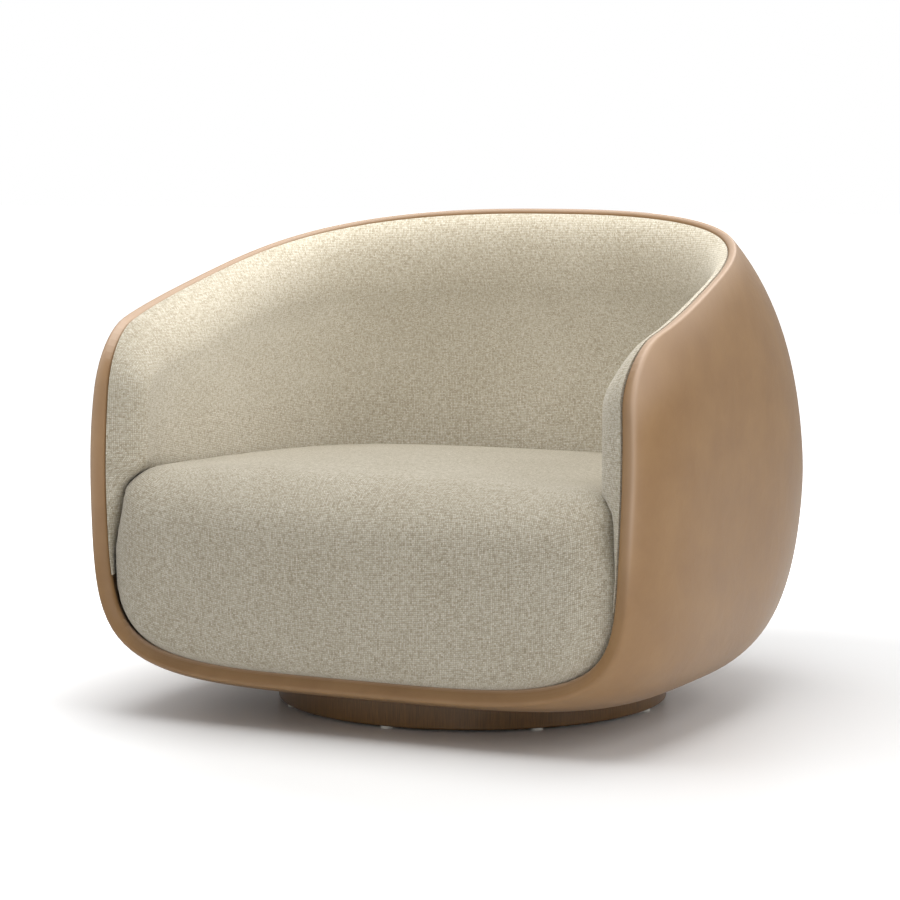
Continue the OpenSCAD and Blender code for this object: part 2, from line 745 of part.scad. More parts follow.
// A level ring under the block, at a share of the last row's outline
function level_row(row, share, z) =
    [for (p = row) [p.x * share, seat_heart.y + (p.y - seat_heart.y) * share, z]];

function seat_top(depth) = [0, seat_heart.y, crown_top(seat_heart) - depth];

function seat_rings(angles, depth) = [for (a = angles) seat_row(a, depth)];

module seat_cover() color("#b9af97") {
    outer = seat_rings(seat_rows, 0);
    inner = seat_rings(seat_rows, cover_t);
    under = outer[len(outer) - 1];
    top_z = seat_low_z + cover_t;
    last = len(seat_rows) - 1;
    ringed(seat_top(0), concat(outer,
        [level_row(under, hem_share, seat_low_z), level_row(under, hem_share, top_z)],
        [for (k = [last:-1:0]) inner[k]]), seat_top(cover_t),
        concat([for (k = [0:last]) k], [last + 1, last + 1], [for (k = [last:-1:0]) k]), outer, seat_heart);
}

module seat_foam() color("#e9dfb8") {
    depth = cover_t + fit;
    outer = seat_rings(seat_rows, depth);
    low_z = seat_low_z + depth;
    cavity_top_z = rail_top_z + 2 * strap_t + 2 * fit + cavity_play;
    difference() {
        ringed(seat_top(depth), outer, [0, seat_heart.y, low_z],
            [for (k = [0:len(seat_rows) - 1]) k], seat_rings(seat_rows, 0), seat_heart);
        translate([-frame_w / 2 - cavity_play, frame_front_y - cavity_play, 0])
            cube([frame_w + 2 * cavity_play, frame_d + 2 * cavity_play, cavity_top_z]);
    }
}

module rail(x, y, length, width) {
    translate([x, y, rail_z]) cube([length, width, rail_h]);
}

module seat_rail_front() color("#c79f6c") rail(-frame_w / 2, frame_front_y, frame_w, rail_t);

module seat_rail_rear() color("#c79f6c")
    rail(-frame_w / 2, frame_front_y + frame_d - rail_t, frame_w, rail_t);

module seat_rail_left() color("#c79f6c")
    rail(-frame_w / 2, frame_front_y + rail_t, rail_t, frame_d - 2 * rail_t);

module seat_rail_right() color("#c79f6c")
    rail(frame_w / 2 - rail_t, frame_front_y + rail_t, rail_t, frame_d - 2 * rail_t);

// The four inner corners of the box frame, each with its quarter turned inwards
module at_corners() {
    for (side_x = [0, 1], side_y = [0, 1])
        translate([0, frame_front_y + frame_d / 2, 0]) mirror([side_x, 0, 0]) mirror([0, side_y, 0])
            translate([-frame_w / 2 + rail_t, -frame_d / 2 + rail_t, 0]) children();
}

module at_bolts() {
    for (x = [-bolt_x, bolt_x], y = batten_at) translate([x, frame_front_y + y, 0]) children();
}

module corner_blocks() color("#b98f5c")
    at_corners() translate([0, 0, rail_z]) linear_extrude(height = block_h)
        polygon([[0, 0], [block_leg, 0], [0, block_leg]]);

module seat_battens() color("#c79f6c")
    difference() {
        for (y = batten_at)
            translate([-frame_w / 2 + rail_t, frame_front_y + y - batten_w / 2, rail_z])
                cube([frame_w - 2 * rail_t, batten_w, batten_t]);
        at_bolts() translate([0, 0, rail_z - 1]) cylinder(h = batten_t + 2, r = bolt_r + running_play);
    }

module seat_bolts() color("#9aa0a6")
    at_bolts() {
        translate([0, 0, board_z + fit]) cylinder(h = bolt_head_h - fit, r = bolt_head_r);
        translate([0, 0, board_z + bolt_head_h - 1])
            cylinder(h = rail_z + batten_t - board_z - bolt_head_h, r = bolt_r);
    }

module straps(count, room, length, z, along_y) {
    step = room / count;
    for (i = [0:count - 1])
        translate(along_y ? [-room / 2 + step * (i + 0.5) - strap_w / 2, frame_front_y, z]
            : [-frame_w / 2, frame_front_y + step * (i + 0.5) - strap_w / 2, z])
            cube(along_y ? [strap_w, length, strap_t] : [length, strap_w, strap_t]);
}

module webbing_lengthways() color("#2f2f31") straps(straps_long, frame_w, frame_d, rail_top_z, true);

module webbing_crossways() color("#2f2f31")
    straps(straps_cross, frame_d, frame_w, rail_top_z + strap_t, false);

module seat_bottom_cloth() color("#26262a")
    difference() {
        translate([-frame_w / 2 + 5, frame_front_y + 5, board_top_z + fit])
            cube([frame_w - 10, frame_d - 10, bottom_cloth_t]);
        at_bolts() translate([0, 0, board_top_z]) cylinder(h = 2, r = bolt_r + fit);
    }

plinth_ring();
plinth_deck();
floor_glides();
glide_nails();
lower_swivel_plate();
lower_plate_screws();
pivot_pin();
pivot_washer();
pivot_nut();
ball_cage();
bearing_balls();
upper_swivel_plate();
upper_plate_screws();
base_board();
shell_core();
shell_screws();
leather_cover();
inner_pad();
inner_lining();
seat_rail_front();
seat_rail_rear();
seat_rail_left();
seat_rail_right();
corner_blocks();
seat_battens();
seat_bolts();
webbing_lengthways();
webbing_crossways();
seat_foam();
seat_cover();
seat_bottom_cloth();
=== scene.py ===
"""Looks of a swivel lounge chair with a leather-wrapped shell.

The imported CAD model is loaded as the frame. The leather, the padded lining and the seat block replace
its soft solids, and every carried-over solid gets the finish of the real part. Shape laws are written in
millimetres, as a maker would, and turned to metres where a mesh is written.
"""

import logging
import math
from dataclasses import dataclass
from enum import Enum
from typing import Callable, Dict, Optional, Sequence, Tuple

import bpy
import numpy as np
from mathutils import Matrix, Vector

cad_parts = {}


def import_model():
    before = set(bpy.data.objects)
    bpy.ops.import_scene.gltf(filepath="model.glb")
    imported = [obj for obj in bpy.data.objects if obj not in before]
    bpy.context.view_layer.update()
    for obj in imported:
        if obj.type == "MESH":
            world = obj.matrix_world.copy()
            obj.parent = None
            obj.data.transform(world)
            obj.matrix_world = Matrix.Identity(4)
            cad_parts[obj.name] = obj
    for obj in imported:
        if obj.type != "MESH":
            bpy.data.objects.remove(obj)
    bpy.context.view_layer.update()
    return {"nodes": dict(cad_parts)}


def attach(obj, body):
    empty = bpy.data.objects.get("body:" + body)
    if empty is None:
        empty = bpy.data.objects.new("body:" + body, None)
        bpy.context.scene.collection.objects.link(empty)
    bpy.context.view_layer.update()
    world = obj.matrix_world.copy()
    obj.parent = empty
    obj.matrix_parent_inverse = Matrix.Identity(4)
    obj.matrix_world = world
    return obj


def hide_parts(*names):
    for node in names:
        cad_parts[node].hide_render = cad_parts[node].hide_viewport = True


LOG = logging.getLogger("chair")
MM = 0.001
WEAVE_UV = "weave"
# The share of painted highlight that each leather vertex gets along the rim's edge.
PAINTED_EDGE_HIGHLIGHT = "painted_edge_highlight"
WHITE = (1, 1, 1, 1)
# Millimetres from inside the chair that lead past any point of it.
FAR = 900.0
# A short step along the skin, as an angle seen from the heart of the egg.
NEAR = 0.02
# Vertices less than this apart, in metres, are joined.
SAME_PLACE = 1e-6
# Faces that turn by more than this meet in a visible edge.
SHARP_TURN = math.radians(50)
Points = np.ndarray
Spot = Tuple[float, float, float]
Socket = bpy.types.NodeSocket


class Body(Enum):
    """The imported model's body that the new pieces ride on."""

    SEAT = "seat"


class Slot(Enum):
    """The record's material slots for the new pieces; nothing in this script reads them."""

    LEATHER = "tan_leather"
    WEAVE = "greige_weave"
    PLY = "moulded_ply"


def linear(code: str) -> Tuple[float, float, float, float]:
    """Turns an sRGB hex colour to the linear values that shaders use.

    Args:
        code: Six hex digits, with or without a leading hash.

    Returns:
        Linear red, green and blue, and an alpha of 1.
    """
    digits = code.lstrip("#")
    parts = [int(digits[k:k + 2], 16) / 255 for k in (0, 2, 4)]
    red, green, blue = [c / 12.92 if c <= 0.04045 else ((c + 0.055) / 1.055) ** 2.4 for c in parts]
    return red, green, blue, 1.0


def unit(vectors: Points) -> Points:
    """Scales each row of an array of vectors to length 1."""
    return vectors / np.maximum(np.linalg.norm(vectors, axis=-1, keepdims=True), 1e-12)


def clamp(values: Points, low: float = 0.0, high: float = 1.0) -> Points:
    """Holds values between two limits."""
    return np.minimum(np.maximum(values, low), high)


def smooth(values: Points) -> Points:
    """Turns a share between 0 and 1 into one that starts and ends level."""
    share = clamp(values)
    return share * share * (3 - 2 * share)


def rounding(share: Points, power: float) -> Points:
    """1 at the middle of a rounded outline, falling to 0 at its end."""
    inside = clamp(share)
    return (1 - inside ** power) ** (1 / power)


def blend(start: float, end: float, share: Points) -> Points:
    """Goes from a start to an end by a share."""
    return start + (end - start) * share


def crowd(share: Points, pull: float) -> Points:
    """Bends a share so that its steps lie closer together towards its end."""
    return share + pull * share * (1 - share)


def rolled(turn: Points, power: float) -> Tuple[Points, Points]:
    """Rise and reach of a rounded edge: 1 and 0 at its start, 0 and 1 a quarter turn on."""
    rise, reach = np.cos(turn), np.sin(turn)
    return np.sign(rise) * np.abs(rise) ** (2 / power), np.abs(reach) ** (2 / power)


def bisect(test: Callable[[Points], Points], far: Points, turns: int = 24) -> Points:
    """Finds where a test turns true between 0 and a far value, for many values at once.

    Args:
        test: Takes an array of values and says for each whether it is past the place looked for.
        far: Upper limits of the search.
        turns: Number of halvings.

    Returns:
        The values at which the test turns true.
    """
    low, high = np.zeros_like(far), np.array(far, float)
    for _ in range(turns):
        mid = (low + high) / 2
        past = test(mid)
        high = np.where(past, mid, high)
        low = np.where(past, low, mid)
    return (low + high) / 2


def gradient(value: Callable[[Points], Points], points: Points, step: float = 0.5) -> Points:
    """Measures how fast a value changes along the three axes at each point.

    Args:
        value: Takes points and gives one value for each.
        points: Where it is measured.
        step: Half the way between the two samples.

    Returns:
        The change for each unit of length, along x, y and z.
    """
    parts = []
    for axis in range(3):
        move = np.zeros(3)
        move[axis] = step
        parts.append((value(points + move) - value(points - move)) / (2 * step))
    return np.stack(parts, axis=-1)


@dataclass(frozen=True)
class EggForm:
    """Outline of the shell: a rounded egg, cut by a front line and an arm line. Millimetres."""

    width: float = 904.0
    back_depth: float = 510.0
    front_depth: float = 464.0
    middle_y: float = -75.4
    belly_z: float = 333.0
    side_rise: float = 497.0
    back_rise: float = 465.0
    belly_drop: float = 299.0
    underside_z: float = 45.0
    lean: float = 0.055
    side_top_power: float = 2.79
    back_top_power: float = 2.56
    side_low_power: float = 5.16
    back_low_power: float = 2.41
    front_low_power: float = 3.91
    back_plan_power: float = 3.36
    front_plan_power: float = 4.13
    back_plan_up: float = 0.745
    back_plan_down: float = 1.05
    front_plan_up: float = 0.415
    front_plan_down: float = 0.19
    plan_step: float = 324.0
    plan_ease: float = 34.0
    lip_reach: float = 337.0
    arm_reach: float = 324.0
    front_bow: float = 11.0
    arm_z: float = 551.0
    back_line_z: float = 768.0
    arm_corner_r: float = 85.0
    arm_line_bulge: float = 0.033
    wall_t: float = 24.5
    top_wall_t: float = 14.0
    thin_from: float = 400.0
    thin_over: float = 280.0
    nose_power: float = 4.0
    top_nose_power: float = 2.3
    swivel_y: float = -25.4
    pole_tilt: float = math.radians(25)
    front_line_end: float = 1.3
    arm_line_ends: Tuple[float, float] = (-0.3, 1.2)
    rim_from: float = math.radians(30)
    rim_over: float = math.radians(135)
    rim_turns: int = 18

    @property
    def heart(self) -> Points:
        """The point inside the egg that its rays start from."""
        return np.array([0.0, self.swivel_y, self.belly_z])

    def half(self, z: Points, size: float, rise: float, top: float, low: float) -> Points:
        """Half a width or depth of the egg at some heights.

        Args:
            z: Heights.
            size: Half width or depth at the widest line.
            rise: Rise from the widest line to where this side closes.
            top: Power of the rounding above the widest line.
            low: Power of the rounding below it.

        Returns:
            The half size at each height.
        """
        above = rounding((z - self.belly_z) / rise, top)
        below = rounding((self.belly_z - z) / self.belly_drop, low)
        return size * np.where(z > self.belly_z, above, below)

    def half_width(self, z: Points) -> Points:
        """Half width at some heights."""
        return self.half(z, self.width / 2, self.side_rise, self.side_top_power, self.side_low_power)

    def half_back(self, z: Points) -> Points:
        """Depth behind the middle at some heights."""
        return self.half(z, self.back_depth, self.back_rise, self.back_top_power, self.back_low_power)

    def half_front(self, z: Points) -> Points:
        """Depth ahead of the middle at some heights."""
        return self.half(z, self.front_depth, self.back_rise, self.back_top_power, self.front_low_power)

    def plan_middle(self, z: Points) -> Points:
        """Where the middle of the plan lies at some heights."""
        return self.middle_y - self.lean * (z - self.belly_z)

    def plan_power(self, z: Points, start: float, up: float, down: float) -> Points:
        """Power of the plan's outline, eased where it passes the widest line.

        Args:
            z: Heights.
            start: Power at the widest line.
            up: What one step up takes from it.
            down: What one step down takes from it.

        Returns:
            The power at each height.
        """
        rise = z - self.belly_z
        far = np.sqrt(rise ** 2 + self.plan_ease ** 2)
        return start - (up * (far + rise) + down * (far - rise)) / 2 / self.plan_step

    def outside(self, p: Points) -> Points:
        """Below 0 inside the egg, above 0 outside it.

        Args:
            p: Points to test.

        Returns:
            One value for each point, 0 on the surface.
        """
        x, y, z = p[..., 0], p[..., 1], p[..., 2]
        dy = y - self.plan_middle(z)
        back = dy > 0
        w = np.maximum(self.half_width(z), 0.01)
        d = np.maximum(np.where(back, self.half_back(z), self.half_front(z)), 0.01)
        n = np.where(back,
                     self.plan_power(z, self.back_plan_power, self.back_plan_up, self.back_plan_down),
                     self.plan_power(z, self.front_plan_power, self.front_plan_up, self.front_plan_down))
        return ((np.abs(x) / w) ** n + (np.abs(dy) / d) ** n) ** (1 / n) - 1

    def past(self, p: Points) -> Points:
        """How far points lie outside the egg, near its surface."""
        slope = np.linalg.norm(gradient(self.outside, p), axis=-1)
        return self.outside(p) / np.maximum(slope, 1e-4)

    def ray(self, column: Points, polar: Points) -> Points:
        """Directions from the heart.

        Args:
            column: Angles round the pole, which lies low on the back.
            polar: Angles away from the pole.

        Returns:
            One unit vector for each pair of angles.
        """
        c, s = math.cos(self.pole_tilt), math.sin(self.pole_tilt)
        pole, upward, right = np.array([0, c, -s]), np.array([0, s, c]), np.array([1.0, 0, 0])
        side = np.cos(column)[..., None] * upward + np.sin(column)[..., None] * right
        return np.cos(polar)[..., None] * pole + np.sin(polar)[..., None] * side

    def on(self, column: Points, polar: Points) -> Points:
        """Points of the egg's surface in the given directions.

        Args:
            column: Angles round the pole.
            polar: Angles away from the pole.

        Returns:
            One point for each pair of angles.
        """
        way = self.ray(column, polar)
        far = bisect(lambda t: self.outside(self.heart + way * t[..., None]) > 0,
                     np.full(way.shape[:-1], FAR))
        return self.heart + way * far[..., None]

    def outward(self, p: Points) -> Points:
        """Outward directions at points of the surface."""
        return unit(gradient(self.outside, p))

    def front_line(self, z: Points) -> Points:
        """Front edge of the shell, seen from the side.

        Args:
            z: Heights.

        Returns:
            Where the edge lies along y at each height.
        """
        low = self.belly_z - self.belly_drop
        u = clamp((z - low) / (self.arm_z - low), 0, self.front_line_end)
        lip, arm = self.middle_y - self.lip_reach, self.middle_y - self.arm_reach
        return blend(lip, arm, u) - 4 * self.front_bow * u * (1 - u)

    def arm_line(self, y: Points) -> Points:
        """Upper edge of the shell, seen from the side.

        Args:
            y: Places along y.

        Returns:
            The edge's height at each place.
        """
        arm = self.middle_y - self.arm_reach
        c = clamp((y - arm) / (self.middle_y + self.back_depth - arm), *self.arm_line_ends)
        return blend(self.arm_z, self.back_line_z, crowd(c, self.arm_line_bulge))

    def past_rim(self, p: Points) -> Points:
        """Below 0 where there is shell, above 0 in the opening.

        Args:
            p: Points of the egg's surface.

        Returns:
            How far each point lies past the rim.
        """
        ahead = self.front_line(p[..., 2]) - p[..., 1]
        above = p[..., 2] - self.arm_line(p[..., 1])
        a, b = ahead + self.arm_corner_r, above + self.arm_corner_r
        return np.where((a > 0) & (b > 0), np.hypot(a, b) - self.arm_corner_r, np.maximum(ahead, above))

    def high(self, p: Points) -> Points:
        """How far points have come from the arms' upright edges, at 0, to the top edge, at 1."""
        return smooth((p[..., 2] - self.thin_from) / self.thin_over)

    def wall(self, p: Points) -> Points:
        """Thickness of the shell with its leather, which thins out towards the top edge."""
        return blend(self.wall_t, self.top_wall_t, self.high(p))

    def rim_test(self, p: Points) -> Points:
        """True past the line where the wall's rounded edge starts."""
        return self.past_rim(p) > -self.wall(p) / 2

    def rim(self, column: Points) -> Points:
        """Polar angles of the rim line along some columns.

        Args:
            column: Column angles.

        Returns:
            One polar angle for each column.
        """
        reach = np.full(column.shape, self.rim_over)
        return self.rim_from + bisect(lambda t: self.rim_test(self.on(column, self.rim_from + t)), reach,
                                      self.rim_turns)

    def edge(self, column: Points, turn: Points, inset: float) -> Points:
        """Points round the wall's edge at the rim.

        Args:
            column: Column angles.
            turn: From 0 at the outer face to pi at the inner one.
            inset: How far inside the leather's outer face, in millimetres.

        Returns:
            One point for each column.
        """
        rim = self.rim(column)
        middle = self.on(column, rim)
        normal = self.outward(middle)
        along = unit(middle - self.on(column, rim - NEAR))
        half = self.wall(middle)[:, None] / 2
        rise, reach = rolled(turn, blend(self.nose_power, self.top_nose_power, self.high(middle)))
        round_edge = normal * rise[:, None] + along * reach[:, None]
        return middle - normal * half + (half - inset) * round_edge


@dataclass(frozen=True)
class SeatForm:
    """Outline of the upholstered seat block. Millimetres."""

    egg: EggForm
    reach: float = 349.0
    swell: float = 11.0
    side_inset: float = 45.5
    back_inset: float = 130.0
    top_z: float = 351.0
    low_z: float = 80.7
    tilt: float = 0.033
    crown: float = 17.0
    edge_round: float = 81.0
    low_round: float = 30.0
    heart_z: float = 230.0
    crown_half_w: float = 380.0
    crown_half_d: float = 340.0
    wall_gap: float = 4.0
    lining_gap: float = 22.0
    lining_low_z: float = 205.0
    lining_start: float = 2.0
    lining_over: float = 128.0
    side_power: int = 3
    out_turns: int = 20

    @property
    def heart(self) -> Points:
        """The point inside the block that its rays start from."""
        return np.array([0.0, self.egg.middle_y, self.heart_z])

    def front(self, p: Points) -> Points:
        """Where the swelled front face lies.

        Args:
            p: Points beside or above which it is asked for.

        Returns:
            The face's place along y at each point.
        """
        u = clamp(np.abs(p[..., 0]) / self.crown_half_w)
        dz = p[..., 2] - self.heart_z
        v = clamp(np.abs(dz) / np.where(dz > 0, self.top_z - self.heart_z, self.heart_z - self.low_z))
        return self.egg.middle_y - self.reach - self.swell * (1 - u * u) * (1 - v * v)

    def top(self, p: Points) -> Points:
        """Height of the crowned top.

        Args:
            p: Points below or above which it is asked for.

        Returns:
            The top's height at each point.
        """
        dy = p[..., 1] - self.egg.middle_y
        u = clamp(np.abs(p[..., 0]) / self.crown_half_w)
        w = clamp(np.abs(dy) / self.crown_half_d)
        return self.top_z + self.crown * (1 - u * u) * (1 - w * w) - self.tilt * dy

    def past_side(self, p: Points) -> Points:
        """How far points lie outside the block's sides and back.

        Args:
            p: Points to test.

        Returns:
            Millimetres, below 0 inside.
        """
        dy = p[..., 1] - self.egg.plan_middle(p[..., 2])
        w = np.maximum(self.egg.half_width(p[..., 2]) - self.side_inset, 1)
        d = np.maximum(self.egg.half_back(p[..., 2]) - self.back_inset, 1)
        x = np.abs(p[..., 0])
        power = self.side_power
        curve = ((x / w) ** power + (np.maximum(dy, 0) / d) ** power) ** (1 / power)
        return np.where(dy < 0, x - w, (curve - 1) * (w + d) / 2)

    @staticmethod
    def meet(faces: Sequence[Points], radius: float) -> Points:
        """Several faces met with a rounding: below 0 inside all of them.

        Args:
            faces: For each face, how far the points lie outside it.
            radius: Radius of the rounding.

        Returns:
            How far the points lie outside the rounded body.
        """
        near = np.stack([np.maximum(face + radius, 0) for face in faces])
        several = (near > 0).sum(axis=0) > 1
        return np.where(several, np.linalg.norm(near, axis=0) - radius, np.max(np.stack(faces), axis=0))

    def past(self, p: Points) -> Points:
        """How far points lie outside the block.

        Args:
            p: Points to test.

        Returns:
            Millimetres, below 0 inside.
        """
        upper = self.meet([self.past_side(p), self.front(p) - p[..., 1], p[..., 2] - self.top(p)],
                          self.edge_round)
        lined = smooth((p[..., 2] - self.lining_low_z - self.lining_start) / self.lining_over)
        block = self.meet([upper, self.low_z - p[..., 2]], self.low_round)
        return np.maximum(block, self.egg.past(p) + self.egg.wall(p) + self.wall_gap
                          + lined * self.lining_gap)

    def out(self, way: Points, start: Optional[Points] = None) -> Points:
        """Distances along rays from the heart, or another point, to the block's surface.

        Args:
            way: Directions of the rays.
            start: Where they start, or nothing for the heart.

        Returns:
            One distance for each ray.
        """
        origin = self.heart if start is None else start
        return bisect(lambda t: self.past(origin + way * t[..., None]) > 0,
                      np.full(way.shape[:-1], FAR), self.out_turns)

    def on(self, column: Points, polar: Points) -> Points:
        """Points of the block's surface.

        Args:
            column: Angles round the vertical, from the back.
            polar: Angles from the top, with 45 degrees at the upper edge and 135 at the lower one.

        Returns:
            One point for each pair of angles.
        """
        level = np.stack([-np.sin(column), np.cos(column), np.zeros_like(column)], axis=-1)
        low = clamp((polar - math.pi / 2) / (math.pi / 4))
        foot = np.array([0.0, self.egg.middle_y, self.low_z + self.low_round / 2])
        span = self.out(level) * (1 - low) + self.out(level, foot) * low
        rise = np.where(polar < math.pi / 2, self.top_z - self.heart_z, self.heart_z - self.low_z)
        up = np.stack([np.zeros_like(polar), np.zeros_like(polar), rise * np.cos(polar)], axis=-1)
        way = unit(level * (span * np.sin(polar))[..., None] + up)
        return self.heart + way * self.out(way)[..., None]


def deselect() -> None:
    """Leaves nothing selected."""
    bpy.ops.object.select_all(action="DESELECT")


class Workpiece:
    """A mesh worked as by hand: a start shape, edit-mode tools, modifiers that are applied."""

    def __init__(self, name: str, columns: int, rings: int) -> None:
        """Adds a round start shape of unit radius at the origin.

        Args:
            name: Name of the new piece.
            columns: Segments round the vertical.
            rings: Bands from pole to pole.
        """
        deselect()
        bpy.ops.mesh.primitive_uv_sphere_add(segments=columns, ring_count=rings, radius=1)
        self.piece = bpy.context.object
        self.piece.name = self.piece.data.name = name
        self.columns, self.rings = columns, rings
        self.number()

    def number(self) -> None:
        """Notes each vertex's column angle in radians and its ring number from the upper pole."""
        co = self.read()
        self.column = np.arctan2(co[:, 0], co[:, 1])
        self.ring = np.rint(np.arccos(clamp(co[:, 2], -1, 1)) / math.pi * self.rings)

    def read(self) -> Points:
        """Places of the vertices, in metres."""
        co = np.empty(len(self.piece.data.vertices) * 3)
        self.piece.data.vertices.foreach_get("co", co)
        return co.reshape(-1, 3)

    def write(self, places: Points) -> None:
        """Moves the vertices to new places, in metres."""
        self.piece.data.vertices.foreach_set("co", np.asarray(places, float).ravel())
        self.piece.data.update()

    def pick(self) -> None:
        """Selects the piece alone and makes it the active one."""
        deselect()
        bpy.context.view_layer.objects.active = self.piece
        self.piece.select_set(True)

    def edit(self, *tools: Callable[[], object], on_all: bool = True) -> None:
        """Runs tools in edit mode.

        Args:
            tools: The tools, in order.
            on_all: Whether the whole mesh is selected for them first.
        """
        self.pick()
        bpy.ops.object.mode_set(mode="EDIT")
        if on_all:
            bpy.ops.mesh.select_all(action="SELECT")
        for tool in tools:
            tool()
        bpy.ops.object.mode_set(mode="OBJECT")

    def delete(self, chosen: Points) -> None:
        """Deletes the chosen vertices, with the faces on them.

        Args:
            chosen: For each vertex, whether it goes.
        """
        self.edit(lambda: bpy.ops.mesh.select_mode(type="VERT"),
                  lambda: bpy.ops.mesh.select_all(action="DESELECT"), on_all=False)
        self.piece.data.vertices.foreach_set("select", chosen.astype(bool))
        self.edit(lambda: bpy.ops.mesh.delete(type="VERT"), on_all=False)

    def cut_below(self, z: float) -> None:
        """Cuts the piece flat at a height in metres and closes it there."""
        self.edit(lambda: bpy.ops.mesh.bisect(plane_co=(0, 0, z), plane_no=(0, 0, 1), use_fill=True,
                                              clear_inner=True))

    def face_outwards(self) -> None:
        """Recalculates the closed piece's normals so that they point outwards."""
        self.edit(lambda: bpy.ops.mesh.remove_doubles(threshold=SAME_PLACE),
                  lambda: bpy.ops.mesh.normals_make_consistent(inside=False))

    def shape(self, kind: str, **settings: object) -> None:
        """Puts a modifier with its settings on the piece and applies it.

        Args:
            kind: The modifier's type.
            settings: Its properties.
        """
        self.pick()
        tool = self.piece.modifiers.new(kind.lower(), kind)
        for key, value in settings.items():
            setattr(tool, key, value)
        bpy.ops.object.modifier_apply(modifier=tool.name)

    def soften(self) -> None:
        """Shades the piece smooth, save where it turns sharply."""
        self.pick()
        bpy.ops.object.shade_smooth_by_angle(angle=SHARP_TURN)

    def spread(self, places: Points) -> Tuple[Points, Points, Points]:
        """Lays the start shape's vertices out in rows and lines.

        Args:
            places: Where the vertices are.

        Returns:
            The places by row and line, and the row and the line of each vertex.
        """
        line = np.rint(self.column / (2 * math.pi / self.columns)).astype(int) % self.columns
        row = self.ring.astype(int)
        grid = np.zeros((self.rings + 1, self.columns, 3))
        grid[row, line] = places
        for pole in (0, self.rings):
            grid[pole] = places[row == pole][0]
        return grid, row, line

    def lay_weave(self, flat: Points) -> None:
        """Writes a UV map from the place in the cloth of each vertex, in metres.

        Args:
            flat: For each vertex, the place in the cloth.
        """
        data = self.piece.data
        layer = data.uv_layers.new(name=WEAVE_UV)
        corner = np.empty(len(data.loops), int)
        data.loops.foreach_get("vertex_index", corner)
        layer.data.foreach_set("uv", flat[corner].astype(np.float32).ravel())
        data.uv_layers.active = layer


def dress(piece: bpy.types.Object, material: bpy.types.Material) -> None:
    """Gives a piece its one material.

    Args:
        piece: The piece.
        material: The material.
    """
    piece.data.materials.clear()
    piece.data.materials.append(material)
    LOG.info("%s: %d faces, %s", piece.name, len(piece.data.polygons), material.name)


